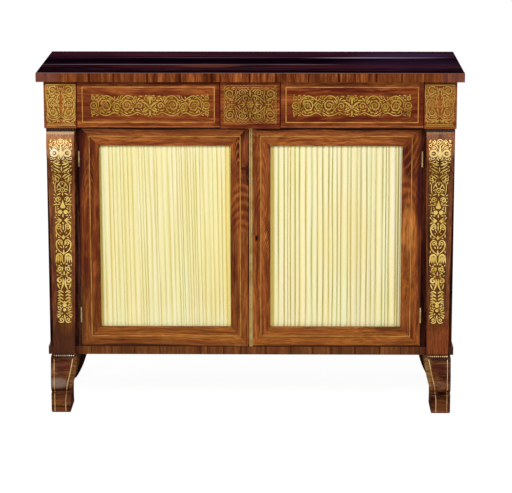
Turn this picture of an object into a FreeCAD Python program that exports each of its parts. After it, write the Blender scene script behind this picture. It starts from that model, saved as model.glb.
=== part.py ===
import os
import re

import FreeCAD
import Part
import Sketcher

# A Regency chiffonier in rosewood: two drawers over two silk-panelled doors, between
# scroll consoles, on scroll feet. The origin is on the floor under the middle of the
# piece; X runs to the right as one faces it, Y to the back and Z up. All in millimetres.

SIZES = {
    # Overall
    "total_height": 932,
    "top_width": 1120,
    "top_depth": 420,
    # Top board
    "top_thickness": 24,
    "side_overhang": 18,
    "front_overhang": 20,
    "edge_ease": 0.8,
    # Frieze, the band of drawers that stands forward of the doors
    "frieze_height": 126,
    "frieze_projection": 45,
    "corner_width": 85,
    "tablet_width": 156,
    "tablet_thickness": 23,
    # Carcass
    "side_thickness": 18,
    "stile_thickness": 18,
    "back_thickness": 10,
    "back_rebate": 9,
    "back_board_gap": 0.5,
    "back_board_ease": 1.5,
    "dust_board_thickness": 14,
    "housing_depth": 5,
    "top_rail_thickness": 20,
    "top_rail_width": 60,
    "partition_thickness": 12,
    "guide_width": 14,
    "guide_height": 18,
    "foot_height": 155,
    "base_rail_height": 22,
    "base_rail_thickness": 20,
    "base_step": 5,
    "shelf_level": 470,
    "shelf_thickness": 16,
    "shelf_setback": 25,
    "shelf_play": 0.5,
    "bearer_width": 14,
    "bearer_height": 18,
    "stop_length": 100,
    "stop_start": 60,
    "stop_section": 12,
    # Consoles: depths are measured forward from the plane of the doors
    "console_head_width": 74,
    "console_head_inset": 4,
    "console_foot_width": 57,
    "console_foot_inset": 11,
    "console_top_depth": 36,
    "console_bulge_depth": 48,
    "console_bulge_drop": 62,
    "console_neck_depth": 30,
    "console_neck_drop": 116,
    "console_throat_depth": 23.3,
    "console_shaft_depth": 20,
    "console_shaft_drop": 176,
    "console_waist_depth": 18,
    "console_base_depth": 27,
    # Bead mouldings under the frieze corners and under the consoles
    "bead_height": 8,
    "bead_size": 7,
    "head_bead_width": 75,
    "head_bead_depth": 41,
    "foot_bead_width": 56,
    "foot_bead_depth": 33,
    # Front feet: depths are measured forward or back from the plane of the doors
    "foot_inset": 3.5,
    "foot_width": 71.5,
    "foot_pad_width": 52.5,
    "foot_top_depth": 29,
    "foot_knee_depth": 37,
    "foot_swell_depth": 41,
    "foot_swell_height": 80,
    "foot_roll_depth": 38,
    "foot_quirk_depth": 26,
    "foot_quirk_height": 54,
    "foot_quirk_gap": 5,
    "foot_pad_depth": 34,
    "foot_toe_radius": 6,
    "foot_heel_depth": 89,
    "foot_heel_hollow": 28,
    "foot_heel_bow": 13,
    "foot_ankle_height": 62,
    "foot_hollow_depth": 4.8,
    "foot_hollow_height": 113,
    "foot_pad_waist": 0.6,
    # Rear feet
    "rear_foot_depth": 50,
    "rear_foot_top_width": 64.5,
    "rear_foot_pad_width": 34.5,
    "rear_foot_bend_height": 66,
    "rear_foot_bow": 3.5,
    "glue_block_size": 16,
    # Doors
    "door_thickness": 20,
    "door_gap": 1,
    "meeting_gap": 1.5,
    "door_stile_width": 53,
    "meeting_stile_width": 47.5,
    "door_top_rail_width": 53,
    "door_bottom_rail_width": 54,
    "panel_rebate": 8,
    "panel_lip": 8,
    "panel_play": 0.3,
    "silk_thickness": 4,
    "silk_frame_width": 22,
    "string_width": 2,
    "string_depth": 1.2,
    "door_string_inset": 25.5,
    "astragal_width": 9.5,
    "astragal_seat": 5,
    "astragal_rise": 2.4,
    # Butt hinges
    "hinge_height": 42,
    "hinge_inset": 67,
    "knuckle_radius": 3,
    "knuckle_stand": 0.2,
    "knuckle_gap": 0.3,
    "leaf_thickness": 1.5,
    "leaf_depth": 15,
    "pin_radius": 1.5,
    "running_fit": 0.05,
    # Lock on the back of the right door, and its keeper on the left door
    "lock_level": 477,
    "lock_width": 44,
    "lock_height": 56,
    "lock_depth": 12,
    "lock_inset": 1,
    "bolt_length": 30,
    "bolt_thickness": 5,
    "bolt_height": 16,
    "bolt_face": 3,
    "keeper_inset": 1.5,
    "keeper_width": 13,
    "keeper_wall": 3,
    "keeper_play": 1,
    "keyhole_inset": 11,
    "keyhole_width": 4,
    "keyhole_height": 12,
    "escutcheon_rim": 2,
    "escutcheon_seat": 1.6,
    # Sliding bolt at the head of the left door
    "rod_radius": 3,
    "rod_length": 62,
    "rod_inset": 23.5,
    "rod_drop": 13,
    "rod_travel": 10,
    "knob_radius": 2.2,
    "knob_length": 11,
    "knob_play": 0.2,
    "barrel_length": 48,
    "barrel_drop": 26,
    "barrel_width": 14,
    "barrel_wall": 2.5,
    "bolt_plate_width": 24,
    "bolt_plate_length": 60,
    "bolt_plate_thickness": 2,
    "strike_width": 26,
    "strike_depth": 20,
    "strike_height": 12,
    "strike_thickness": 2.2,
    "strike_gap": 0.5,
    # Drawers
    "drawer_gap": 1.2,
    "drawer_setback": 2,
    "drawer_length": 340,
    "drawer_front_thickness": 20,
    "drawer_side_thickness": 11,
    "drawer_back_thickness": 10,
    "drawer_back_drop": 5,
    "drawer_bottom_thickness": 6,
    "drawer_bottom_rise": 4,
    "drawer_groove": 4,
    "drawer_string_inset": 15,
    "tail_length": 15,
    "tail_width": 20,
    "tail_flare": 3,
    # How far cutting outlines run past the wood that they cut
    "overcut": 2,
}

BACK_BOARDS = 6
TAILS = 3

# Places worked out from the sizes. Each is in terms of sizes and of other places.
PLACES = {
    "half_top": "top_width / 2",
    "back": "top_depth / 2",
    "front": "-top_depth / 2",
    "frieze_face": "front + front_overhang",
    "frieze_back": "frieze_face + tablet_thickness",
    "door_face": "frieze_face + frieze_projection",
    "door_back": "door_face + door_thickness",
    "stile_back": "door_face + stile_thickness",
    "back_board_face": "back - back_thickness",
    "frieze_top": "total_height - top_thickness",
    "frieze_base": "frieze_top - frieze_height",
    "dust_board_top": "frieze_base + dust_board_thickness",
    "top_rail_base": "frieze_top - top_rail_thickness",
    "base_top": "foot_height + base_rail_height",
    "base_back": "door_face + base_rail_thickness",
    "carcass_side": "half_top - side_overhang",
    "carcass_inner": "carcass_side - side_thickness",
    "back_board_side": "carcass_inner + back_rebate",
    "corner_inner": "carcass_side - corner_width",
    "tablet_side": "tablet_width / 2",
    "shelf_face": "door_back + shelf_setback",
    # Consoles and feet
    "console_top": "frieze_base - bead_height",
    "console_base": "foot_height + bead_height",
    "console_head_outer": "carcass_side - console_head_inset",
    "console_head_inner": "console_head_outer - console_head_width",
    "console_foot_outer": "carcass_side - console_foot_inset",
    "console_foot_inner": "console_foot_outer - console_foot_width",
    "foot_outer": "carcass_side - foot_inset",
    "foot_inner": "foot_outer - foot_width",
    "foot_pad_inner": "foot_outer - foot_pad_width",
    "foot_toe_bend": "(1 - sqrt(0.5)) * foot_toe_radius",
    "foot_heel": "door_face + foot_heel_depth",
    "rear_foot_inner": "foot_outer - rear_foot_top_width",
    "rear_pad_inner": "foot_outer - rear_foot_pad_width",
    "rear_bend_x": "(rear_foot_inner + rear_pad_inner) / 2 - rear_foot_bow",
    # Doors
    "door_outer": "corner_inner - door_gap",
    "door_base": "base_top + door_gap",
    "door_top": "frieze_base - door_gap",
    "veneer_edge": "(astragal_width + meeting_gap) / 2",
    "right_meeting": "veneer_edge - astragal_width",
    "sight_outer": "door_outer - door_stile_width",
    "sight_inner": "veneer_edge + meeting_stile_width",
    "sight_base": "door_base + door_bottom_rail_width",
    "sight_top": "door_top - door_top_rail_width",
    "lip_back": "door_face + panel_lip",
    "silk_back": "lip_back + silk_thickness",
    # Hinges
    "hinge_x": "corner_inner - door_gap / 2",
    "hinge_y": "door_face - knuckle_radius - knuckle_stand",
    "knuckle_length": "hinge_height / 3",
    # Lock and keeper
    "lock_side": "right_meeting + lock_inset",
    "lock_bolt_face": "door_back + bolt_face",
    "keeper_side": "veneer_edge + keeper_inset",
    "keyhole_x": "veneer_edge + keyhole_inset",
    "keyhole_straight": "(keyhole_height - keyhole_width) / 2",
    # Sliding bolt
    "rod_x": "veneer_edge + rod_inset",
    "rod_y": "door_back + bolt_plate_thickness + barrel_wall + rod_radius",
    "rod_top": "door_top - rod_drop",
    "barrel_top": "door_top - barrel_drop",
    "barrel_back": "rod_y + rod_radius + barrel_wall",
    "knob_level": "barrel_top - barrel_length / 2 - rod_travel / 2",
    # Drawers
    "drawer_outer": "corner_inner - drawer_gap",
    "drawer_inner": "tablet_side + drawer_gap",
    "drawer_face": "frieze_face + drawer_setback",
    "drawer_front_back": "drawer_face + drawer_front_thickness",
    "drawer_end": "drawer_face + drawer_length",
    "drawer_base": "frieze_base + drawer_gap",
    "drawer_top": "frieze_top - drawer_gap",
    "drawer_side_top": "top_rail_base - drawer_gap",
    "drawer_bottom_base": "dust_board_top + drawer_bottom_rise",
    "drawer_bottom_top": "drawer_bottom_base + drawer_bottom_thickness",
    "tail_pitch": f"(drawer_side_top - dust_board_top) / {TAILS}",
}

SIDES = ("left", "right")

# The view that an outline is drawn in: its plane, and which way the plane's normal
# runs along the axis that the view looks along
VIEWS = {
    "front": ("XZ_Plane", -1),
    "side": ("YZ_Plane", 1),
    "plan": ("XY_Plane", 1),
}

VIA = "via"


def expression(text):
    """A size or place in the sheet's own terms, for a property to be bound to."""
    def reference(match):
        word = match.group(0)
        if word in SIZES:
            return "sizes." + word
        if word in PLACES:
            return "(" + expression(PLACES[word]) + ")"
        return word
    return re.sub(r"[a-z][a-z_]*", reference, text)


def value(text):
    """A size or place in millimetres."""
    return float(sheet.evalExpression(expression(text)))


def mirrored(side, x):
    """The X place of a point that is given for the right-hand side."""
    return x if side == "right" else f"-({x})"


def across(side, near, far):
    """The (start, end) in X of a piece given by its distances from the middle."""
    return (near, far) if side == "right" else (f"-({far})", f"-({near})")


def both_ways(reach):
    """The (start, end) in X of a piece that is centred on the middle."""
    return (f"-({reach})", reach)


def centred(middle, length):
    """The (start, end) of a piece given by its middle and its length."""
    return (f"{middle} - ({length}) / 2", f"{middle} + ({length}) / 2")


# Drawing ----------------------------------------------------------------------------

def make_sheet():
    """The sheet of driving dimensions, one named cell for each size."""
    cells = doc.addObject("Spreadsheet::Sheet", "sizes")
    for row, (name, size) in enumerate(SIZES.items(), start=1):
        cells.set(f"A{row}", name.replace("_", " "))
        cells.set(f"B{row}", str(size))
        cells.setAlias(f"B{row}", name)
    doc.recompute()
    return cells


def pin_down(sketch, geometry, position, point):
    """Hold one point of a sketch at its place, measured from the sketch's origin."""
    for kind, text in zip(("DistanceX", "DistanceY"), point):
        number = sketch.addConstraint(
            Sketcher.Constraint(kind, -1, 1, geometry, position, value(text)))
        sketch.setExpression(f"Constraints[{number}]", expression(text))


def vector(point):
    return FreeCAD.Vector(value(point[0]), value(point[1]), 0)


def trace_circle(sketch, x, y, radius):
    """Draw one full circle."""
    curve = Part.Circle(vector((x, y)), FreeCAD.Vector(0, 0, 1), value(radius))
    number = sketch.addGeometry(curve, False)
    pin_down(sketch, number, 3, (x, y))
    rule = sketch.addConstraint(Sketcher.Constraint("Radius", number, value(radius)))
    sketch.setExpression(f"Constraints[{rule}]", expression(radius))


def trace_arc(sketch, start, middle, end):
    """Draw an arc through three points; give its number and its two end positions."""
    curve = Part.Arc(vector(start), vector(middle), vector(end))
    number = sketch.addGeometry(curve, False)
    forward = sketch.getPoint(number, 1).isEqual(vector(start), 1e-6)
    marker = sketch.addGeometry(Part.Point(vector(middle)), True)
    pin_down(sketch, marker, 1, middle)
    sketch.addConstraint(Sketcher.Constraint("PointOnObject", marker, 1, number))
    return (number, 1, 2) if forward else (number, 2, 1)


def trace(sketch, loop):
    """Draw one closed loop of corners; a point marked VIA bends its side to an arc."""
    corners = [point for point in loop if len(point) == 2]
    bends = {}
    for place, point in enumerate(loop):
        if len(point) == 3:
            bends[loop[place - 1]] = point[:2]
    sides = []
    for start, end in zip(corners, corners[1:] + corners[:1]):
        if start in bends:
            sides.append(trace_arc(sketch, start, bends[start], end))
        else:
            line = Part.LineSegment(vector(start), vector(end))
            sides.append((sketch.addGeometry(line, False), 1, 2))
    for corner, (number, start, end) in zip(corners, sides):
        pin_down(sketch, number, start, corner)
    for (number, _, end), (following, start, _) in zip(sides, sides[1:] + sides[:1]):
        sketch.addConstraint(
            Sketcher.Constraint("Coincident", number, end, following, start))


def rectangle(x, y):
    """The loop of a rectangle from its (start, end) pairs."""
    return [(x[0], y[0]), (x[1], y[0]), (x[1], y[1]), (x[0], y[1])]


def new_body(name):
    return doc.addObject("PartDesign::Body", name)


def add(body, kind, view, loops, span):
    """Pad or pocket outlines drawn in a view, over a (start, end) span along it."""
    role, normal = VIEWS[view]
    start, end = span
    plane_at = end if (kind == "Pad") == (normal < 0) else start
    sketch = body.newObject("Sketcher::SketchObject", "outline")
    plane = next(f for f in body.Origin.OriginFeatures if f.Role == role)
    sketch.AttachmentSupport = [(plane, "")]
    sketch.MapMode = "FlatFace"
    offset = plane_at if normal > 0 else f"-({plane_at})"
    sketch.setExpression("AttachmentOffset.Base.z", expression(offset))
    for loop in loops:
        if loop[0] == "circle":
            trace_circle(sketch, *loop[1:])
        else:
            trace(sketch, loop)
    feature = body.newObject("PartDesign::" + kind, kind.lower())
    feature.Profile = sketch
    feature.setExpression("Length", expression(f"({end}) - ({start})"))
    return feature


def repeat(body, feature, step, count):
    """Repeat a feature along the upright axis of its sketch."""
    pattern = body.newObject("PartDesign::LinearPattern", "pattern")
    pattern.Originals = [feature]
    pattern.Direction = (feature.Profile[0], ["V_Axis"])
    pattern.setExpression("Length", expression(f"({step}) * {count - 1}"))
    pattern.Occurrences = count
    body.Tip = pattern
    return pattern


def ease(body, feature):
    """Break every edge of a piece by the small bevel that hand finishing leaves."""
    chamfer = body.newObject("PartDesign::Chamfer", "eased_edges")
    chamfer.Base = (feature, [""])
    chamfer.UseAllEdges = True
    chamfer.setExpression("Size", expression("edge_ease"))


def board(name, x, y, z):
    """A plain rectangular board from its (start, end) pairs."""
    block = doc.addObject("Part::Box", name)
    for length, (start, end) in zip(("Length", "Width", "Height"), (x, y, z)):
        block.setExpression(length, expression(f"({end}) - ({start})"))
    for axis, (start, _) in zip("xyz", (x, y, z)):
        block.setExpression(f"Placement.Base.{axis}", expression(start))
    return block


def eased_board(name, x, y, z):
    """A rectangular board with its edges broken."""
    body = new_body(name)
    ease(body, add(body, "Pad", "plan", [rectangle(x, y)], z))
    return body


def rod(name, radius, x, y, z):
    """An upright round rod."""
    cylinder = doc.addObject("Part::Cylinder", name)
    cylinder.setExpression("Radius", expression(radius))
    cylinder.setExpression("Height", expression(f"({z[1]}) - ({z[0]})"))
    for axis, start in zip("xyz", (x, y, z[0])):
        cylinder.setExpression(f"Placement.Base.{axis}", expression(start))
    return cylinder


def fuse(name, shapes):
    joined = doc.addObject("Part::MultiFuse", name)
    joined.Shapes = shapes
    return joined


def cut(name, base, tools):
    """A base with one or more tools cut from it."""
    result = doc.addObject("Part::Cut", name)
    result.Base = base
    result.Tool = tools[0] if len(tools) == 1 else fuse(name + "_tools", tools)
    return result


nodes = []


def keep(name, *pieces):
    """Enter a sub-part: one piece, or a set of separate pieces, under its own name."""
    if len(pieces) == 1:
        part = pieces[0]
    else:
        part = doc.addObject("Part::Compound", name)
        part.Links = list(pieces)
    part.Label = name
    nodes.append(part)


# Carcass ----------------------------------------------------------------------------

def make_top_board():
    keep("top_board", eased_board(
        "top", both_ways("half_top"), ("front", "back"), ("frieze_top", "total_height")))


def make_side_panels():
    """Sides housed for the dust board and rebated for the back boards."""
    for side in SIDES:
        panel = board("panel", across(side, "carcass_inner", "carcass_side"),
                      ("stile_back", "back"), ("base_top", "frieze_top"))
        housing = board("housing",
                        across(side, "carcass_inner - overcut",
                               "carcass_inner + housing_depth"),
                        ("stile_back - overcut", "back_board_face"),
                        ("frieze_base", "dust_board_top"))
        rebate = board("rebate",
                       across(side, "carcass_inner - overcut", "back_board_side"),
                       ("back_board_face", "back + overcut"),
                       ("base_top - overcut", "frieze_top + overcut"))
        keep(side + "_side_panel", cut("side_panel", panel, [housing, rebate]))


def make_base():
    """The floor, and the banded rails that show as the plinth."""
    height = ("foot_height", "base_top")
    edge = "carcass_side + base_step"
    keep("carcass_floor", board("floor", both_ways("carcass_inner"),
                                ("base_back", "back"), height))
    keep("base_rails",
         board("front_rail", both_ways(edge), ("door_face", "base_back"), height),
         *[board("side_rail", across(side, "carcass_inner", edge),
                 ("base_back", "back"), height) for side in SIDES])


def make_dust_board():
    """The board under the drawers: narrow between the frieze corners, then housed."""
    body = new_body("dust_board_body")
    wide = "carcass_inner + housing_depth"
    outline = [
        ("-corner_inner", "frieze_back"), ("corner_inner", "frieze_back"),
        ("corner_inner", "stile_back"), (wide, "stile_back"),
        (wide, "back_board_face"), (f"-({wide})", "back_board_face"),
        (f"-({wide})", "stile_back"), ("-corner_inner", "stile_back"),
    ]
    add(body, "Pad", "plan", [outline], ("frieze_base", "dust_board_top"))
    keep("dust_board", body)


def make_back_boards():
    """Upright boards in the side panels' rebates, with bevelled joints between them."""
    width = (f"(2 * back_board_side - {BACK_BOARDS - 1} * back_board_gap)"
             f" / {BACK_BOARDS}")
    boards = []
    for place in range(BACK_BOARDS):
        left = f"-back_board_side + {place} * ({width} + back_board_gap)"
        right = f"{left} + {width}"
        body = new_body("back_board")
        outline = [
            (left, "back_board_face"), (right, "back_board_face"),
            (right, "back - back_board_ease"),
            (f"{right} - back_board_ease", "back"),
            (f"{left} + back_board_ease", "back"),
            (left, "back - back_board_ease"),
        ]
        add(body, "Pad", "plan", [outline], ("base_top", "frieze_top"))
        boards.append(body)
    keep("back_boards", *boards)


def hinge_span(place):
    """The height range of the upper or lower hinge of a door."""
    if place == "upper":
        return ("door_top - hinge_inset - hinge_height", "door_top - hinge_inset")
    return ("door_base + hinge_inset", "door_base + hinge_inset + hinge_height")


def leaf_seats(side, near, far):
    """The shallow mortises that the leaves of one door's hinges are let into."""
    return [board("leaf_seat", across(side, near, far),
                  ("door_face - overcut", "door_face + leaf_depth"), hinge_span(place))
            for place in ("upper", "lower")]


def make_front_stiles():
    """The uprights behind the consoles, which the doors hang from."""
    for side in SIDES:
        blank = board("stile", across(side, "corner_inner", "carcass_side"),
                      ("door_face", "stile_back"), ("base_top", "frieze_base"))
        seats = leaf_seats(side, "corner_inner - overcut",
                           "corner_inner + leaf_thickness")
        keep(side + "_front_stile", cut("front_stile", blank, seats))


def make_frieze():
    """The fixed parts of the frieze: a middle tablet and a block at each corner."""
    height = ("frieze_base", "frieze_top")
    keep("frieze_tablet", eased_board("tablet", both_ways("tablet_side"),
                                      ("frieze_face", "frieze_back"), height))
    for side in SIDES:
        keep(side + "_frieze_block",
             eased_board("block", across(side, "corner_inner", "carcass_side"),
                         ("frieze_face", "stile_back"), height))


def make_drawer_carriers():
    """Rails over the drawers, partitions between them and guides beside them."""
    rail_height = ("top_rail_base", "frieze_top")
    keep("top_rails",
         board("front_top_rail", both_ways("corner_inner"),
               ("frieze_back", "frieze_back + top_rail_width"), rail_height),
         board("back_top_rail", both_ways("carcass_inner"),
               ("back_board_face - top_rail_width", "back_board_face"), rail_height))
    keep("drawer_partitions", *[
        board("partition", across(side, "tablet_side - partition_thickness",
                                  "tablet_side"),
              ("frieze_back", "back_board_face"), ("dust_board_top", "top_rail_base"))
        for side in SIDES])
    keep("drawer_guides", *[
        board("guide", across(side, "corner_inner", "corner_inner + guide_width"),
              ("stile_back", "back_board_face"),
              ("dust_board_top", "dust_board_top + guide_height"))
        for side in SIDES])


def make_shelf():
    """One loose shelf on a bearer at each side, and the stops that the doors meet."""
    keep("shelf", board("shelf_board", both_ways("carcass_inner - shelf_play"),
                        ("shelf_face", "back_board_face - shelf_play"),
                        ("shelf_level", "shelf_level + shelf_thickness")))
    keep("shelf_bearers", *[
        board("bearer", across(side, "carcass_inner - bearer_width", "carcass_inner"),
              ("shelf_face", "back_board_face"),
              ("shelf_level - bearer_height", "shelf_level"))
        for side in SIDES])
    keep("door_stops", *[
        board("stop", across(side, "stop_start", "stop_start + stop_length"),
              ("door_back", "door_back + stop_section"),
              ("frieze_base - stop_section", "frieze_base"))
        for side in SIDES])


# Consoles, beads and feet -----------------------------------------------------------

def forward(depth):
    """The Y place of a point given by its distance in front of the doors' plane."""
    return "door_face - " + depth


def make_consoles():
    """Tapered consoles: a scrolled head, a hollow neck and a shaft that sweeps out."""
    def below(drop):
        return "console_top - " + drop

    profile = [
        ("door_face", "console_top"),
        (forward("console_top_depth"), "console_top"),
        (forward("console_bulge_depth"), below("console_bulge_drop"), VIA),
        (forward("console_neck_depth"), below("console_neck_drop")),
        (forward("console_throat_depth"),
         below("(console_neck_drop + console_shaft_drop) / 2"), VIA),
        (forward("console_shaft_depth"), below("console_shaft_drop")),
        (forward("console_waist_depth"),
         "(console_top - console_shaft_drop + console_base) / 2", VIA),
        (forward("console_base_depth"), "console_base"),
        ("door_face", "console_base"),
    ]
    for side in SIDES:
        body = new_body("console")
        add(body, "Pad", "side", [profile],
            across(side, "console_head_inner", "console_head_outer"))
        wedges = [
            [(mirrored(side, head), "console_top"), (mirrored(side, foot), "console_base"),
             (mirrored(side, foot), "console_base - overcut"),
             (mirrored(side, clear), "console_base - overcut"),
             (mirrored(side, clear), "console_top")]
            for head, foot, clear in (
                ("console_head_inner", "console_foot_inner",
                 "console_head_inner - overcut"),
                ("console_head_outer", "console_foot_outer",
                 "console_head_outer + overcut"))]
        add(body, "Pocket", "front", wedges,
            (forward("console_bulge_depth - overcut"), "door_face + overcut"))
        keep(side + "_console", body)


def bead_strip(side, middle, width, depth, base):
    """A fillet with a half-round bead worked along its front."""
    body = new_body("bead_strip")
    face = f"door_face - {depth} + bead_size / 2"
    ledge = "(bead_height - bead_size) / 2"
    profile = [
        ("door_face", base),
        (face, base),
        (face, f"{base} + {ledge}"),
        (f"{face} - bead_size / 2", f"{base} + bead_height / 2", VIA),
        (face, f"{base} + bead_height - {ledge}"),
        (face, f"{base} + bead_height"),
        ("door_face", f"{base} + bead_height"),
    ]
    add(body, "Pad", "side", [profile], centred(mirrored(side, middle), width))
    return body


def make_bead_mouldings():
    """Bead strips over the consoles and under them."""
    strips = []
    for side in SIDES:
        strips.append(bead_strip(side, "(console_head_inner + console_head_outer) / 2",
                                 "head_bead_width", "head_bead_depth", "console_top"))
        strips.append(bead_strip(side, "(console_foot_inner + console_foot_outer) / 2",
                                 "foot_bead_width", "foot_bead_depth", "foot_height"))
    keep("bead_mouldings", *strips)


def make_front_feet():
    """Scroll feet: a swelling knee over a sharp quirk and a square pad."""
    quirk_top = "foot_quirk_height + foot_quirk_gap"
    profile = [
        ("foot_heel", "foot_height"),
        (forward("foot_top_depth"), "foot_height"),
        (forward("foot_knee_depth"), "(foot_height + foot_swell_height) / 2", VIA),
        (forward("foot_swell_depth"), "foot_swell_height"),
        (forward("foot_roll_depth"), f"({quirk_top} + foot_swell_height) / 2", VIA),
        (forward("foot_quirk_depth"), quirk_top),
        (forward("foot_quirk_depth"), "foot_quirk_height"),
        (forward("foot_pad_depth"), "foot_quirk_height"),
        (forward("foot_pad_depth"), "foot_toe_radius"),
        (forward("foot_pad_depth + foot_toe_bend"), "foot_toe_bend", VIA),
        (forward("foot_pad_depth + foot_toe_radius"), "0"),
        ("foot_heel - foot_heel_hollow", "0"),
        ("foot_heel - foot_heel_hollow", "foot_ankle_height"),
        ("foot_heel - foot_heel_bow", "(foot_ankle_height + foot_height) / 2", VIA),
    ]
    for side in SIDES:
        def at(x, z, *mark):
            return (mirrored(side, x), z, *mark)

        body = new_body("front_foot")
        add(body, "Pad", "side", [profile], across(side, "foot_inner", "foot_outer"))
        inner = [
            at("foot_inner - overcut", "foot_height"),
            at("foot_inner", "foot_height"),
            at("foot_inner + foot_hollow_depth", "foot_hollow_height", VIA),
            at("foot_pad_inner", "foot_ankle_height"),
            at("foot_pad_inner + foot_pad_waist",
               "(foot_ankle_height + foot_toe_radius) / 2", VIA),
            at("foot_pad_inner", "foot_toe_radius"),
            at("foot_pad_inner + foot_toe_bend", "foot_toe_bend", VIA),
            at("foot_pad_inner + foot_toe_radius", "0"),
            at("foot_pad_inner + foot_toe_radius", "-overcut"),
            at("foot_inner - overcut", "-overcut"),
        ]
        outer = [
            at("foot_outer", "foot_toe_radius"),
            at("foot_outer - foot_toe_bend", "foot_toe_bend", VIA),
            at("foot_outer - foot_toe_radius", "0"),
            at("foot_outer - foot_toe_radius", "-overcut"),
            at("foot_outer + overcut", "-overcut"),
            at("foot_outer + overcut", "foot_toe_radius"),
        ]
        add(body, "Pocket", "front", [inner, outer],
            (forward("foot_swell_depth - overcut"), "foot_heel + overcut"))
        keep(f"front_{side}_foot", body)


def make_rear_feet():
    """Bracket feet that curve in below an upright top, and the glue blocks above."""
    feet = []
    for side in SIDES:
        body = new_body("rear_foot")
        outline = [
            (mirrored(side, "foot_outer"), "foot_height"),
            (mirrored(side, "foot_outer"), "0"),
            (mirrored(side, "rear_pad_inner"), "0"),
            (mirrored(side, "rear_bend_x"), "rear_foot_bend_height / 2", VIA),
            (mirrored(side, "rear_foot_inner"), "rear_foot_bend_height"),
            (mirrored(side, "rear_foot_inner"), "foot_height"),
        ]
        add(body, "Pad", "front", [outline], ("back - rear_foot_depth", "back"))
        feet.append(body)
    keep("rear_feet", *feet)
    blocks = []
    for side in SIDES:
        for corner, start in (("foot_inner", "foot_heel - glue_block_size"),
                              ("rear_foot_inner", "back - rear_foot_depth")):
            body = new_body("glue_block")
            outline = [
                (mirrored(side, corner), "foot_height"),
                (mirrored(side, corner), "foot_height - glue_block_size"),
                (mirrored(side, f"{corner} - glue_block_size"), "foot_height"),
            ]
            add(body, "Pad", "front", [outline], (start, f"{start} + glue_block_size"))
            blocks.append(body)
    keep("glue_blocks", *blocks)


# Hinges -----------------------------------------------------------------------------

def hinge_leaf(side, place, near, far, segments):
    """A leaf with its knuckle segments, bored for the pin. Segments count from below."""
    base, top = hinge_span(place)
    x = across(side, near, far)
    axis_x = mirrored(side, "hinge_x")
    pieces = [board("leaf", x, ("door_face", "door_face + leaf_depth"), (base, top))]
    for segment in segments:
        start = f"{base} + {segment} * knuckle_length + knuckle_gap / 2"
        height = (start, f"{start} + knuckle_length - knuckle_gap")
        pieces.append(board("tab", x, ("hinge_y", "door_face"), height))
        pieces.append(rod("knuckle", "knuckle_radius", axis_x, "hinge_y", height))
    bore = rod("bore", "pin_radius + running_fit", axis_x, "hinge_y",
               (f"{base} - overcut", f"{top} + overcut"))
    return cut("hinge_leaf", fuse("leaf_blank", pieces), [bore])


def make_hinges():
    """Two butt hinges to each door. The frame's leaf has the end knuckles."""
    frame_leaves = []
    pins = []
    for side in SIDES:
        door_leaves = []
        for place in ("upper", "lower"):
            frame_leaves.append(hinge_leaf(
                side, place, "corner_inner", "corner_inner + leaf_thickness", (0, 2)))
            door_leaves.append(hinge_leaf(
                side, place, "door_outer - leaf_thickness", "door_outer", (1,)))
            pins.append(rod("pin", "pin_radius", mirrored(side, "hinge_x"), "hinge_y",
                            hinge_span(place)))
        keep(side + "_door_hinge_leaves", *door_leaves)
    keep("hinge_frame_leaves", *frame_leaves)
    keep("hinge_pins", *pins)


# Doors ------------------------------------------------------------------------------

def panel_ring(side, outward):
    """A rectangle that runs outside the sight edge by a given distance."""
    return rectangle(
        across(side, f"sight_inner - ({outward})", f"sight_outer + ({outward})"),
        (f"sight_base - ({outward})", f"sight_top + ({outward})"))


def door_member(side, outline):
    """One mitred member: rebated behind for the silk frame, grooved for the string."""
    body = new_body("door_member")
    add(body, "Pad", "front", [outline], ("door_face", "door_back"))
    add(body, "Pocket", "front",
        [panel_ring(side, "panel_rebate"), panel_ring(side, "-overcut")],
        ("lip_back", "door_back + overcut"))
    add(body, "Pocket", "front",
        [panel_ring(side, "door_string_inset + string_width / 2"),
         panel_ring(side, "door_string_inset - string_width / 2")],
        ("door_face - overcut", "door_face + string_depth"))
    return body


def keyhole_loop(margin):
    """An upright keyhole with round ends, enlarged all round by a margin."""
    half = f"(keyhole_width / 2 + {margin})"
    upper = "lock_level + keyhole_straight"
    lower = "lock_level - keyhole_straight"
    return [
        (f"keyhole_x - {half}", lower),
        ("keyhole_x", f"{lower} - {half}", VIA),
        (f"keyhole_x + {half}", lower),
        (f"keyhole_x + {half}", upper),
        ("keyhole_x", f"{upper} + {half}", VIA),
        (f"keyhole_x - {half}", upper),
    ]


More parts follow.
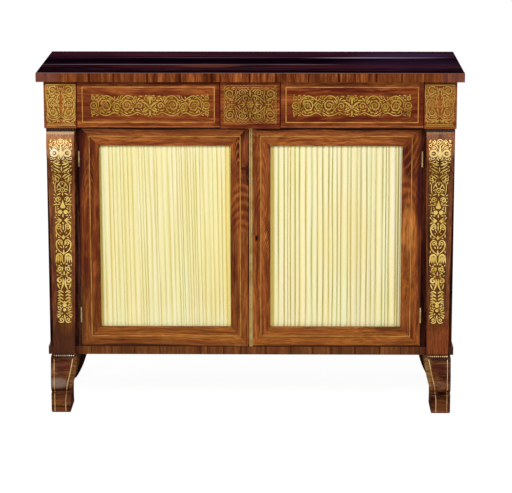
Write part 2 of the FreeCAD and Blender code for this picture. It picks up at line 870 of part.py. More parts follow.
def make_door(side):
    """One door: two stiles and two rails with mitred faces, its silk and its string."""
    def at(x, z):
        return (mirrored(side, x), z)

    hinge_stile = door_member(side, [
        at("door_outer", "door_base"), at("door_outer", "door_top"),
        at("sight_outer", "sight_top"), at("sight_outer", "sight_base")])
    seats = leaf_seats(side, "door_outer - leaf_thickness", "door_outer + overcut")
    keep(side + "_door_hinge_stile", cut("hinge_stile", hinge_stile, seats))
    meeting_outline = [
        at("veneer_edge", "door_base"), at("sight_inner", "sight_base"),
        at("sight_inner", "sight_top"), at("veneer_edge", "door_top")]
    if side == "right":
        meeting_outline += [at("right_meeting", "door_top"),
                            at("right_meeting", "door_base")]
    meeting_stile = door_member(side, meeting_outline)
    if side == "right":
        add(meeting_stile, "Pocket", "front", [keyhole_loop("0")],
            ("door_face - overcut", "door_back + overcut"))
        add(meeting_stile, "Pocket", "front", [keyhole_loop("escutcheon_rim")],
            ("door_face - overcut", "door_face + escutcheon_seat"))
        add(meeting_stile, "Pocket", "plan",
            [rectangle(("right_meeting - overcut", "veneer_edge"),
                       ("door_face - overcut", "door_face + astragal_seat"))],
            ("door_base - overcut", "door_top + overcut"))
    keep(side + "_door_meeting_stile", meeting_stile)
    rails = []
    for outer, sight in (("door_top", "sight_top"), ("door_base", "sight_base")):
        rails.append(door_member(side, [
            at("veneer_edge", outer), at("door_outer", outer),
            at("sight_outer", sight), at("sight_inner", sight)]))
    keep(side + "_door_rails", *rails)

    string = new_body("string")
    add(string, "Pad", "front",
        [panel_ring(side, "door_string_inset + string_width / 2"),
         panel_ring(side, "door_string_inset - string_width / 2")],
        ("door_face", "door_face + string_depth"))
    keep(side + "_door_stringing", string)
    frame = new_body("silk_frame")
    add(frame, "Pad", "front",
        [panel_ring(side, "panel_rebate - panel_play"),
         panel_ring(side, "panel_rebate - panel_play - silk_frame_width")],
        ("silk_back", "door_back"))
    keep(side + "_door_silk_frame", frame)
    silk = new_body("silk")
    add(silk, "Pad", "front", [panel_ring(side, "panel_rebate - panel_play")],
        ("lip_back", "silk_back"))
    keep(side + "_door_silk", silk)


def make_astragal():
    """The brass strip let into the right door's meeting edge, with two reeds."""
    body = new_body("astragal")
    crown = "door_face - astragal_rise"
    add(body, "Pad", "plan", [[
        ("right_meeting", "door_face + astragal_seat"), ("right_meeting", "door_face"),
        ("right_meeting + astragal_width / 4", crown, VIA),
        ("right_meeting + astragal_width / 2", "door_face"),
        ("right_meeting + 3 * astragal_width / 4", crown, VIA),
        ("veneer_edge", "door_face"), ("veneer_edge", "door_face + astragal_seat"),
    ]], ("door_base", "door_top"))
    keep("meeting_astragal", body)


def make_lock():
    """A lock on the back of the right door, whose bolt enters a keeper on the left."""
    bolt_x = ("lock_side", "lock_side + bolt_length")
    bolt_y = ("lock_bolt_face", "lock_bolt_face + bolt_thickness")
    bolt_z = centred("lock_level", "bolt_height")
    case = board("case", ("lock_side", "lock_side + lock_width"),
                 ("door_back", "door_back + lock_depth"),
                 centred("lock_level", "lock_height"))
    slot = board("slot", ("lock_side - overcut", "lock_side + bolt_length + overcut"),
                 ("lock_bolt_face - running_fit",
                  "lock_bolt_face + bolt_thickness + running_fit"),
                 centred("lock_level", "bolt_height + 2 * running_fit"))
    keep("lock_case", cut("lock_case_body", case, [slot]))
    keep("lock_bolt", board("bolt", bolt_x, bolt_y, bolt_z))
    inside = "bolt_height + 2 * keeper_play"
    loop_back = "lock_bolt_face + bolt_thickness + keeper_play"
    block = board("keeper", across("left", "keeper_side", "keeper_side + keeper_width"),
                  ("door_back", f"{loop_back} + keeper_wall"),
                  centred("lock_level", f"{inside} + 2 * keeper_wall"))
    opening = board("keeper_opening",
                    across("left", "keeper_side - overcut",
                           "keeper_side + keeper_width + overcut"),
                    ("door_back - overcut", loop_back), centred("lock_level", inside))
    keep("lock_keeper", cut("keeper_loop", block, [opening]))
    escutcheon = new_body("escutcheon")
    add(escutcheon, "Pad", "front", [keyhole_loop("escutcheon_rim"), keyhole_loop("0")],
        ("door_face", "door_face + escutcheon_seat"))
    keep("keyhole_escutcheon", escutcheon)


def make_door_bolt():
    """The left door's sliding bolt, which rises behind a strike under the dust board."""
    x = mirrored("left", "rod_x")
    barrel_base = "barrel_top - barrel_length"
    plate = board("bolt_plate", centred(x, "bolt_plate_width"),
                  ("door_back", "door_back + bolt_plate_thickness"),
                  centred("barrel_top - barrel_length / 2", "bolt_plate_length"))
    barrel = board("barrel", centred(x, "barrel_width"),
                   ("door_back + bolt_plate_thickness", "barrel_back"),
                   (barrel_base, "barrel_top"))
    bore = rod("bolt_bore", "rod_radius + running_fit", x, "rod_y",
               (f"{barrel_base} - overcut", "barrel_top + overcut"))
    slot = board("knob_slot", centred(x, "2 * (knob_radius + knob_play)"),
                 ("rod_y", "barrel_back + overcut"),
                 ("knob_level - knob_radius - knob_play",
                  "knob_level + rod_travel + knob_radius + knob_play"))
    keep("door_bolt_case", cut("bolt_case", fuse("bolt_blank", [plate, barrel]),
                               [bore, slot]))
    shank = rod("shank", "rod_radius", x, "rod_y", ("rod_top - rod_length", "rod_top"))
    knob = new_body("knob")
    add(knob, "Pad", "front", [("circle", x, "knob_level", "knob_radius")],
        ("rod_y", "rod_y + knob_length"))
    keep("door_bolt_rod", fuse("bolt_rod", [shank, knob]))
    strike = new_body("strike")
    face = "door_back + strike_gap"
    add(strike, "Pad", "side", [[
        (face, "frieze_base"), (face, "frieze_base - strike_height"),
        (f"{face} + strike_thickness", "frieze_base - strike_height"),
        (f"{face} + strike_thickness", "frieze_base - strike_thickness"),
        (f"{face} + strike_depth", "frieze_base - strike_thickness"),
        (f"{face} + strike_depth", "frieze_base"),
    ]], centred(x, "strike_width"))
    keep("bolt_strike", strike)


# Drawers ----------------------------------------------------------------------------

def tail_loop(place):
    """One dovetail seen from the side; it widens away from its root."""
    middle = f"(dust_board_top + {place + 0.5} * tail_pitch)"
    return [
        ("drawer_front_back", f"{middle} - tail_width / 2"),
        ("drawer_front_back", f"{middle} + tail_width / 2"),
        ("drawer_front_back - tail_length", f"{middle} + tail_width / 2 + tail_flare"),
        ("drawer_front_back - tail_length", f"{middle} - tail_width / 2 - tail_flare"),
    ]


def drawer_string_loop(side, offset):
    """A rectangle round the drawer front, by an offset from the string's middle."""
    return rectangle(
        across(side, f"drawer_inner + drawer_string_inset - ({offset})",
               f"drawer_outer - drawer_string_inset + ({offset})"),
        (f"drawer_base + drawer_string_inset - ({offset})",
         f"drawer_top - drawer_string_inset + ({offset})"))


def make_drawer_front(side):
    """A front with half-blind sockets at both ends and a groove for the bottom."""
    body = new_body("drawer_front")
    front = add(body, "Pad", "front",
                [rectangle(across(side, "drawer_inner", "drawer_outer"),
                           ("drawer_base", "drawer_top"))],
                ("drawer_face", "drawer_front_back"))
    ease(body, front)
    ends = (("drawer_inner - overcut", "drawer_inner + drawer_side_thickness"),
            ("drawer_outer - drawer_side_thickness", "drawer_outer + overcut"))
    for near, far in ends:
        socket = add(body, "Pocket", "side", [tail_loop(0)], across(side, near, far))
        repeat(body, socket, "tail_pitch", TAILS)
    add(body, "Pocket", "front",
        [rectangle(across(side, "drawer_inner + drawer_side_thickness - drawer_groove",
                          "drawer_outer - drawer_side_thickness + drawer_groove"),
                   ("drawer_bottom_base", "drawer_bottom_top"))],
        ("drawer_front_back - drawer_groove", "drawer_front_back + overcut"))
    add(body, "Pocket", "front",
        [drawer_string_loop(side, "string_width / 2"),
         drawer_string_loop(side, "-string_width / 2")],
        ("drawer_face - overcut", "drawer_face + string_depth"))
    keep(side + "_drawer_front", body)


def drawer_side(near, far, groove, side):
    """A drawer side with its dovetails in front and a groove for the bottom."""
    body = new_body("drawer_side")
    outline = [("drawer_end", "dust_board_top"), ("drawer_front_back", "dust_board_top")]
    for place in range(TAILS):
        root_low, root_high, end_high, end_low = tail_loop(place)
        outline += [root_low, end_low, end_high, root_high]
    outline += [("drawer_front_back", "drawer_side_top"),
                ("drawer_end", "drawer_side_top")]
    add(body, "Pad", "side", [outline], across(side, near, far))
    add(body, "Pocket", "front",
        [rectangle(across(side, *groove), ("drawer_bottom_base", "drawer_bottom_top"))],
        ("drawer_front_back - tail_length - overcut", "drawer_end + overcut"))
    return body


def make_drawer(side):
    """One drawer: front, dovetailed sides, back, bottom and brass string."""
    make_drawer_front(side)
    inner_face = "drawer_inner + drawer_side_thickness"
    outer_face = "drawer_outer - drawer_side_thickness"
    keep(side + "_drawer_sides",
         drawer_side("drawer_inner", inner_face,
                     (f"{inner_face} - drawer_groove", f"{inner_face} + overcut"), side),
         drawer_side(outer_face, "drawer_outer",
                     (f"{outer_face} - overcut", f"{outer_face} + drawer_groove"), side))
    keep(side + "_drawer_back",
         board("drawer_back", across(side, inner_face, outer_face),
               ("drawer_end - drawer_back_thickness", "drawer_end"),
               ("drawer_bottom_top", "drawer_side_top - drawer_back_drop")))
    keep(side + "_drawer_bottom",
         board("drawer_bottom",
               across(side, f"{inner_face} - drawer_groove",
                      f"{outer_face} + drawer_groove"),
               ("drawer_front_back - drawer_groove", "drawer_end"),
               ("drawer_bottom_base", "drawer_bottom_top")))
    string = new_body("drawer_string")
    add(string, "Pad", "front",
        [drawer_string_loop(side, "string_width / 2"),
         drawer_string_loop(side, "-string_width / 2")],
        ("drawer_face", "drawer_face + string_depth"))
    keep(side + "_drawer_stringing", string)


# The whole piece --------------------------------------------------------------------

def make_chiffonier():
    make_top_board()
    make_side_panels()
    make_base()
    make_dust_board()
    make_back_boards()
    make_front_stiles()
    make_frieze()
    make_drawer_carriers()
    make_shelf()
    make_consoles()
    make_bead_mouldings()
    make_front_feet()
    make_rear_feet()
    make_hinges()
    for side in SIDES:
        make_door(side)
        make_drawer(side)
    make_astragal()
    make_lock()
    make_door_bolt()


def check_document():
    """Stop if any object failed, any shape is unsound or any pocket cut nothing."""
    for item in doc.Objects:
        if "Invalid" in item.State or "Error" in item.State:
            raise RuntimeError(f"{item.Label} failed: {item.State}")
        if item.TypeId == "PartDesign::Pocket":
            if item.Shape.Volume > item.BaseFeature.Shape.Volume - 1e-3:
                raise RuntimeError(f"{item.Label} cuts nothing")
    for part in nodes:
        shape = part.Shape
        if shape.isNull() or not shape.isValid() or not shape.Solids:
            raise RuntimeError(f"{part.Label} has no sound solid")


doc = FreeCAD.newDocument("chiffonier")
sheet = make_sheet()
make_chiffonier()
doc.recompute()
check_document()
os.makedirs("parts", exist_ok=True)
for part in nodes:
    part.Shape.exportStep(f"parts/{part.Label}.step")
print(len(nodes), "sub-parts,", sum(len(part.Shape.Solids) for part in nodes), "solids")
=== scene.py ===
import math
import random

import bpy
import numpy as np
from mathutils import Matrix, Vector, bvhtree, geometry


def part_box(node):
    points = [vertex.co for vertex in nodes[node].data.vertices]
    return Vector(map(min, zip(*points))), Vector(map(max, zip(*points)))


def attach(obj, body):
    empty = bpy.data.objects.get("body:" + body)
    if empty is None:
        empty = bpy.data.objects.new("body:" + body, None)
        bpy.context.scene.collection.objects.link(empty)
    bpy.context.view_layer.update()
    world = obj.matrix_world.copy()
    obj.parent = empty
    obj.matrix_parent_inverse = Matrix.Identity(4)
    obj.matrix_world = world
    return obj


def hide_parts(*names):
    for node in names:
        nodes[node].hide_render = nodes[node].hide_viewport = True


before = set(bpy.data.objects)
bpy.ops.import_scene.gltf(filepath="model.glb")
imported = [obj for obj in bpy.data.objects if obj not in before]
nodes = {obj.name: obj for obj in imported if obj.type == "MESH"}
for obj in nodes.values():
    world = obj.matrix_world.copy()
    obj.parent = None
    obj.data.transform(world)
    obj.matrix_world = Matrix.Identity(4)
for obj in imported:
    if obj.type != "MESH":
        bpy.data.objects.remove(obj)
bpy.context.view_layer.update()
MM = 0.001
SIDES = (("left", -1), ("right", 1))


# Materials --------------------------------------------------------------------------

def srgb(red, green, blue):
    """A linear colour with alpha from 0-255 screen values."""
    def linear(v):
        v /= 255
        return v / 12.92 if v <= 0.04045 else ((v + 0.055) / 1.055) ** 2.4
    return (linear(red), linear(green), linear(blue), 1.0)


def palette(*tones):
    """The dark, middle and light tones of a wood."""
    return [srgb(*tone) for tone in tones]


def dimmed(tone, share):
    """A linear colour at a share of its strength."""
    return [c * share for c in tone[:3]] + [1.0]


class Graph:
    """A node tree under construction."""

    def __init__(self, tree):
        self.tree = tree

    def add(self, kind, settings=None, inputs=None):
        made = self.tree.nodes.new("ShaderNode" + kind)
        for name, given in (settings or {}).items():
            setattr(made, name, given)
        for key, given in (inputs or {}).items():
            if isinstance(given, bpy.types.NodeSocket):
                self.tree.links.new(given, made.inputs[key])
            else:
                made.inputs[key].default_value = given
        return made

    def math(self, operation, a, b=0.0, c=0.0):
        return self.add("Math", {"operation": operation}, {0: a, 1: b, 2: c}).outputs[0]

    def times(self, a, b):
        return self.math("MULTIPLY", a, b)

    def vector(self, operation, a, b):
        made = self.add("VectorMath", {"operation": operation}, {0: a, 1: b})
        return made.outputs["Vector"]

    def noise(self, vector, scale, detail, roughness=0.55, color=False):
        made = self.add("TexNoise", {}, {"Vector": self.vector("MULTIPLY", vector, scale),
                                         "Scale": 1.0, "Detail": detail,
                                         "Roughness": roughness})
        return made.outputs["Color" if color else 0]

    def ramp(self, factor, *stops):
        made = self.add("ValToRGB", {}, {"Fac": factor})
        elements = made.color_ramp.elements
        while len(elements) < len(stops):
            elements.new(0.5)
        for element, (place, tone) in zip(elements, stops):
            element.position = place
            element.color = tone
        return made.outputs[0]

    def span(self, factor, low, high, to_low=0.0, to_high=1.0):
        made = self.add("MapRange", {"clamp": True}, {
            "Value": factor, "From Min": low, "From Max": high,
            "To Min": to_low, "To Max": to_high})
        return made.outputs[0]

    def mix(self, factor, a, b):
        made = self.add("Mix", {"data_type": "RGBA"}, {0: factor, 6: a, 7: b})
        return made.outputs[2]

    def fade(self, a, b, factor, low, high, to_low=0.0, to_high=1.0):
        """Colour a with a share of b in it, set by where a factor lies from low to high."""
        return self.mix(self.span(factor, low, high, to_low, to_high), a, b)

    def axes(self, vector):
        return self.add("SeparateXYZ", {}, {0: vector}).outputs

    def seen(self):
        """1 for what is looked at, also in metal or through glass, 0 for bounced light."""
        rays = self.add("LightPath").outputs
        mirrored = self.math("MAXIMUM", rays["Is Glossy Ray"], rays["Is Transmission Ray"])
        return self.math("MAXIMUM", rays["Is Camera Ray"], mirrored)


class Shade(Graph):
    """A node material under construction, placed by the object's own coordinates."""

    def __init__(self, name, specular=0.5, **constants):
        self.material = bpy.data.materials.new(name)
        self.material.use_nodes = True
        super().__init__(self.material.node_tree)
        self.tree.nodes.clear()
        constants["Specular IOR Level"] = specular
        self.shader = self.add("BsdfPrincipled", {}, constants)
        self.out = self.add("OutputMaterial", {}, {"Surface": self.shader.outputs[0]})
        self.coordinates = self.add("TexCoord").outputs
        self.place = self.coordinates["Object"]

    def finished(self, colour, height, distance, roughness=None):
        """The material, once its colour, relief and roughness reach the shader."""
        relief = self.add("Bump", {}, {"Height": height, "Distance": distance,
                                       "Strength": 1.0})
        made = {"Base Color": colour, "Normal": relief.outputs[0]}
        if roughness:
            made["Roughness"] = roughness
        for name, socket in made.items():
            self.tree.links.new(socket, self.shader.inputs[name])
        return self.material


FINE_MARK = 3  # Marks no larger than this, in mm, keep a straight edge.
TURNS = {"x": (0, 0, 0), "z": (0, math.pi / 2, 0), "y": (0, 0, -math.pi / 2)}


def spot(shade, place, centre, radii):
    """1 within an ellipsoid given in millimetres, fading to 0. Radius 0: any distance."""
    away = shade.vector("SUBTRACT", place, [c * MM for c in centre])
    scaled = shade.vector("MULTIPLY", away, [1 / (r * MM) if r else 0 for r in radii])
    far = shade.add("VectorMath", {"operation": "LENGTH"}, {0: scaled}).outputs["Value"]
    return shade.add("MapRange", {"interpolation_type": "SMOOTHSTEP"}, {
        "Value": far, "From Min": 1.25, "From Max": 0.55}).outputs[0]


def upright(*rows):
    """Marks on an upright face: x, z, how far they reach each way, tone and strength."""
    return [((x, 0, z), (across, 0, up), tone, amount)
            for x, z, across, up, tone, amount in rows]


def tinted(shade, place, colour, marks, blurred=None):
    """A colour with soft marks laid on it in turn, the larger ones ragged if blurred."""
    for centre, radii, tone, amount in marks:
        ragged = blurred is not None and max(radii) > FINE_MARK
        here = spot(shade, blurred if ragged else place, centre, radii)
        colour = shade.mix(shade.times(here, amount), colour, srgb(*tone))
    return colour


def shuffled(shade, place, number):
    """Each numbered block's own place in the timber, and a chance value for it."""
    chance = shade.add("TexWhiteNoise", {"noise_dimensions": "1D"}, {"W": number}).outputs
    jump = shade.vector("MULTIPLY", chance["Color"], (3, 3, 3))
    return shade.vector("ADD", place, jump), chance["Value"]


def arch_lines(shade, place, wander, centre, radii, spacing, curve, lean):
    """How dark and how light nested arches of figure are at each place."""
    away = shade.vector("SUBTRACT", place, [c * MM for c in centre])
    x, _, z = shade.axes(away)
    rise = shade.math("MULTIPLY_ADD", shade.times(x, x), curve / MM, z)
    rise = shade.math("MULTIPLY_ADD", x, lean, rise)
    sway = shade.axes(wander)[1]
    rough = shade.noise(place, (26, 26, 26), 3.0, 0.6)
    rise = shade.math("MULTIPLY_ADD", rough, 0.03, shade.math("MULTIPLY_ADD", sway, 0.03,
                                                              rise))
    wave = shade.math("SINE", shade.times(rise, 2 * math.pi / (spacing * MM)))
    uneven = shade.span(shade.noise(place, (60, 60, 34), 2.0), 0.36, 0.6, 0.45, 1.0)
    reach = shade.times(uneven, spot(shade, place, centre, radii))
    return (shade.times(shade.span(wave, -0.1, 0.9), reach),
            shade.times(shade.span(wave, -0.3, -0.9), reach))


def wood_colour(shade, place, grain, tones, seed, wave=0.012, streak=0.6, marks=(),
                arches=(), sheen=(), contrast=1.0):
    """The colour and the fine relief of a veneer whose grain runs along an axis.

    Marks tint soft patches under the streaks, some of them painted light and shade, arches
    draw nested curves of darker figure, and painted light holds the painted highlights,
    reflections and shadows that lie over both."""
    dark, middle, light = tones
    shift = [random.Random(seed).uniform(-9, 9) for _ in range(3)]
    turned = shade.add("Mapping", {}, {"Vector": place, "Location": shift,
                                       "Rotation": TURNS[grain]}).outputs[0]
    wander = shade.vector("SUBTRACT", shade.noise(turned, (2.6, 7, 7), 2.0, color=True),
                          (0.5, 0.5, 0.5))
    flow = shade.vector("ADD", turned, shade.vector("MULTIPLY", wander,
                                                    (0, wave * 4, wave * 4)))
    bands = shade.noise(flow, (2.6, 48, 48), 3.0, 0.6)
    mottle = shade.noise(flow, (20, 110, 110), 2.0)
    streaks = shade.noise(flow, (9, 250, 250), 3.0, 0.6)
    fine = shade.noise(flow, (34, 540, 540), 2.0)
    pores = shade.noise(flow, (70, 2300, 2300), 1.0)
    figured = shade.noise(flow, (2.6, 52, 52), 3.0, 0.6)
    hairs = shade.noise(flow, (4, 400, 400), 2.0, 0.6)
    reach = 0.17 / contrast
    colour = shade.ramp(bands, (0.5 - reach, dark), (0.5, middle), (0.5 + reach, light))
    colour = shade.fade(colour, dark, mottle, 0.34, 0.5, 0.45, 0.0)
    colour = shade.fade(colour, light, mottle, 0.5, 0.66, 0.0, 0.4)
    blurred = shade.vector("ADD", place, shade.vector("MULTIPLY", wander,
                                                      (0.02, 0.02, 0.02)))
    colour = tinted(shade, place, colour, marks, blurred)
    deep = shade.mix(0.5, colour, dark)
    colour = shade.fade(deep, colour, streaks, 0.4, 0.57)
    colour = shade.fade(shade.mix(0.45, colour, dark), colour, fine, 0.38, 0.6)
    ink = dimmed(dark, 0.3)
    colour = shade.fade(colour, ink, figured, 0.58, 0.68, 0.0, streak)
    colour = shade.fade(colour, ink, hairs, 0.57, 0.67, 0.0, streak * 0.8)
    for centre, radii, spacing, bend, lean, amount in arches:
        shadow, lit = arch_lines(shade, place, wander, centre, radii, spacing, bend, lean)
        colour = shade.mix(shade.times(shadow, amount), colour,
                           dimmed(dark, 0.7))
        colour = shade.mix(shade.times(lit, amount * 0.6), colour, light)
    colour = tinted(shade, place, colour, sheen, blurred)
    colour = shade.fade(colour, ink, pores, 0.62, 0.72, 0.0, 0.45)
    return colour, shade.math("ADD", fine, shade.times(pores, -0.7))


def polished(shade, colour, fine, relief, gloss, dull):
    """The finished material, rubbed from glossy to dull in patches."""
    wear = shade.noise(shade.place, (9, 9, 9), 4.0)
    return shade.finished(colour, fine, relief, shade.span(wear, 0.3, 0.7, gloss, dull))


def wood(name, grain, tones, seed, gloss=0.3, specular=0.12, relief=0.00004, **figure):
    """A polished or bare wood with its grain along one axis."""
    shade = Shade(name, specular)
    place = shade.place
    colour, fine = wood_colour(shade, place, grain, tones, seed, **figure)
    return polished(shade, colour, fine, relief, gloss, gloss + 0.14)


def crossband(name, tones, seed, pitch, ends, top=None, top_tints_and_reflections=()):
    """Short upright grain in blocks, as along a banded edge. Top is for a flat face.

    Ends are the distance from the middle, tone and strength of a tint at both ends."""
    shade = Shade(name, 0.0 if top else 0.05, Roughness=0.3)
    place = shade.place
    across, deep, _ = shade.axes(place)
    run = shade.math("ADD", across, deep)
    sway = shade.noise(place, (6, 6, 0), 1.0)
    along = shade.math("MULTIPLY_ADD", sway, 1.3, shade.math("DIVIDE", run, pitch))
    jumped, chance = shuffled(shade, place, shade.math("FLOOR", along))
    colour, fine = wood_colour(shade, jumped, "z", tones, seed, wave=0.004, streak=0.7,
                               contrast=0.95)
    colour = shade.fade(colour, dimmed(tones[1], 0.45), chance, 0.3, 1, 0.0, 0.6)
    joint = shade.math("PINGPONG", along, 0.5)
    colour = shade.fade(colour, dimmed(tones[0], 0.4), joint, 0.016, 0.04, 0.85, 0.0)
    start, tone, strength = ends
    outward = shade.span(shade.math("ABSOLUTE", across), start - 0.012, start + 0.012,
                         0.0, strength)
    colour = shade.mix(outward, colour, srgb(*tone))
    if top:
        up = shade.axes(shade.coordinates["Normal"])[2]
        # The top's grain, with its tints and painted reflections laid over it.
        lengthwise, _ = wood_colour(shade, place, "x", top, seed + 1, wave=0.02,
                                    sheen=top_tints_and_reflections)
        # A painted highlight on the eased front edge, where the faces turn from front to up.
        colour = shade.fade(colour, ARRIS_HIGHLIGHT, up, 0.1, 0.3)
        colour = shade.fade(colour, lengthwise, up, 0.75, 0.9)
    return shade.finished(colour, fine, 0.00003)


def console_veneer(name, sign, tones, seed, low_tone, head_tan_and_highlight):
    """Console veneer: tan and painted highlights at the head, dark behind the brass, dusky at
    the foot.
    """
    shade = Shade(name, 0.08)
    place = shade.place
    ground = [(sign * 500, z, reach, 45, (98, 56, 8), 0.8)
              for z, reach in zip(range(260, 700, 48), np.linspace(19, 27, 10))]
    marks = upright(
        (sign * 500, 750, 60, 34, head_tan_and_highlight[0], 0.9),
        # A painted highlight across the head's bulge.
        (sign * 500, 718, 60, 16, head_tan_and_highlight[1], 0.7),
        (sign * 502, 195, 60, 60, low_tone, 0.85),
        (sign * 469, 480, 6, 400, (144, 80, 38), 0.5), *ground)
    # A painted highlight along the top ledge, stronger on the left.
    ledge_highlight = upright((sign * 500, 771, 60, 5, (180, 148, 114), 0.55 - 0.3 * sign))
    colour, fine = wood_colour(shade, place, "z", tones, seed, contrast=1.1, marks=marks,
                               sheen=ledge_highlight)
    return polished(shade, colour, fine, 0.00004, 0.24, 0.36)


def edged(name, grain, seed):
    """Bare pine with its front edge veneered to match the case."""
    shade = Shade(name, 0.08, Roughness=0.55)
    place = shade.place
    bare, fine = wood_colour(shade, place, grain, PINE, seed, streak=0.15)
    faced, _ = wood_colour(shade, place, "x", EBONY, seed + 1)
    inward = shade.span(shade.axes(place)[1], *FACING_ENDS)
    return shade.finished(shade.mix(inward, faced, bare), fine, 0.00005)


def boarded(name, node, count, tones, seed):
    """Upright bare boards side by side, each cut from its own place in the timber."""
    shade = Shade(name, 0.08, Roughness=0.65)
    place = shade.place
    low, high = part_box(node)
    turn = shade.math("DIVIDE", shade.math("SUBTRACT", shade.axes(place)[0], low.x),
                      (high.x - low.x) / count)
    jumped, chance = shuffled(shade, place, shade.math("FLOOR", turn))
    colour, fine = wood_colour(shade, jumped, "z", tones, seed, streak=0.25)
    aged = shade.mix(0.45, colour, tones[0])
    colour = shade.mix(chance, colour, aged)
    joint = shade.math("PINGPONG", turn, 0.5)
    colour = shade.fade(colour, dimmed(tones[0], 0.3), joint, 0.006, 0.02, 0.7, 0.0)
    return shade.finished(colour, fine, 0.00005)


def metal(name, tone, worn, roughness, marks=()):
    """Aged metal with dull patches, fine scratches and a little relief."""
    shade = Shade(name, Metallic=1.0)
    place = shade.place
    tone, worn = srgb(*tone), srgb(*worn)
    patches = shade.noise(place, (30, 30, 30), 4.0)
    scratches = shade.noise(place, (900, 60, 900), 2.0)
    colour = shade.fade(tone, worn, patches, 0.4, 0.66)
    colour = shade.fade(colour, worn, scratches, 0.55, 0.75, 0.0, 0.35)
    colour = tinted(shade, place, colour, marks)
    return shade.finished(colour, shade.math("ADD", patches, scratches), 0.00002,
                          shade.span(patches, 0.35, 0.7, roughness, roughness + 0.2))


ROSE_PALE = palette((86, 34, 12), (150, 79, 33), (186, 110, 48))
ROSE = palette((74, 24, 8), (132, 67, 26), (176, 100, 42))
ROSE_RED = palette((78, 22, 8), (138, 70, 30), (178, 103, 46))
BANDING = palette((62, 22, 10), (128, 66, 32), (184, 106, 52))
RAIL = palette((82, 40, 17), (114, 65, 29), (140, 86, 40))
CONSOLE = palette((62, 24, 10), (112, 60, 30), (152, 94, 50))
DUSKY = palette((48, 20, 10), (94, 54, 34), (132, 86, 58))
BLACK_ROSE = palette((10, 0, 6), (40, 14, 22), (82, 46, 56))
EBONY = palette((14, 1, 2), (42, 14, 9), (72, 38, 22))
# The front stiles' rosewood, darkened as painted shade beside the consoles.
STILE_SHADED = palette((20, 2, 2), (62, 24, 13), (104, 54, 28))
PINE = palette((112, 76, 44), (164, 122, 74), (192, 150, 96))
OAK = palette((120, 86, 52), (170, 132, 84), (196, 160, 108))
# A painted highlight for the top's eased front edge.
ARRIS_HIGHLIGHT = srgb(104, 78, 74)
FACING_ENDS = (-0.132, -0.128)  # Y where an inner board's veneered edge gives way.
BACK_BOARDS = 6

BRASS = metal("brass_frieze", (180, 152, 70), (140, 112, 38), 0.36)
# The block and tablet brasses are one brass, lighter on the left block and darker on the
# tablet as painted light and shade.
BRASS_LIGHT = metal("brass_left_block", (196, 166, 86), (154, 124, 52), 0.36)
BRASS_TAN = metal("brass_right_block", (174, 140, 70), (140, 106, 46), 0.38)
BRASS_SHADED = metal("brass_tablet", (160, 130, 60), (122, 92, 34), 0.38)
BRASS_LINE = metal("brass_lines", (182, 136, 72), (138, 94, 40), 0.4)
BRASS_DRAWER = metal("brass_drawer_lines", (188, 138, 72), (142, 96, 44), 0.4)
BRASS_FOOT = metal("brass_foot_lines", (208, 172, 118), (152, 112, 70), 0.4)
# The console brass has painted highlights on the head's roundels, brightest at the left edge,
# and is darker towards the top.
BRASS_BRIGHT = metal("brass_console", (224, 196, 112), (182, 146, 60), 0.34, upright(
    (-500, 719, 90, 24, (232, 206, 150), 0.9),
    (-526, 719, 18, 13, (250, 236, 206), 0.9),
    (500, 719, 90, 24, (230, 200, 132), 0.85),
    (0, 760, 0, 14, (184, 156, 108), 0.9)))
BRASS_CAST = metal("brass_cast", (150, 132, 82), (104, 88, 50), 0.45)
BRASS_PALE = metal("brass_hinges", (186, 160, 112), (120, 96, 60), 0.4)
BRASS_BAR = metal("brass_astragal", (186, 160, 100), (154, 128, 70), 0.42)
BRASS_DULL = metal("brass_keyhole", (78, 42, 20), (46, 22, 12), 0.5)
GILT = metal("brass_beads", (208, 178, 140), (134, 100, 72), 0.36)
STEEL = metal("steel", (120, 116, 110), (58, 50, 44), 0.45)


def dress(material, *names):
    """Give CAD nodes a material."""
    for name in names:
        slots = nodes[name].data.materials
        slots.clear()
        slots.append(material)


# Marks on the top: their centre, how far they reach, tone and strength. The pale grey-pink
# lines among them are painted reflections, and the line at the front edge is a painted
# highlight.
TOP_TINTS_AND_REFLECTIONS = [
    ((0, 160, 0), (0, 60, 0), (62, 26, 42), 0.7),
    ((-260, 140, 0), (130, 30, 0), (84, 34, 40), 0.5),
    ((0, 20, 0), (0, 52, 0), (10, 2, 12), 0.95),
    ((-100, 84, 0), (260, 7, 0), (92, 78, 92), 0.7),
    ((340, 84, 0), (190, 11, 0), (150, 138, 164), 0.95),
    ((420, 130, 0), (140, 50, 0), (62, 44, 78), 0.6),
    ((-270, -52, 0), (330, 9, 0), (126, 106, 116), 0.65),
    ((130, -50, 0), (120, 7, 0), (110, 90, 100), 0.8),
    ((-250, -92, 0), (160, 26, 0), (78, 26, 26), 0.7),
    ((-110, -70, 0), (90, 34, 0), (118, 62, 42), 0.55),
    ((250, -90, 0), (260, 40, 0), (74, 30, 34), 0.5),
    ((0, -185, 0), (0, 28, 0), (18, 2, 10), 0.8),
    ((430, -40, 0), (210, 110, 0), (62, 36, 62), 0.32),
    ((0, -207, 0), (0, 5, 0), (116, 94, 102), 0.8)]
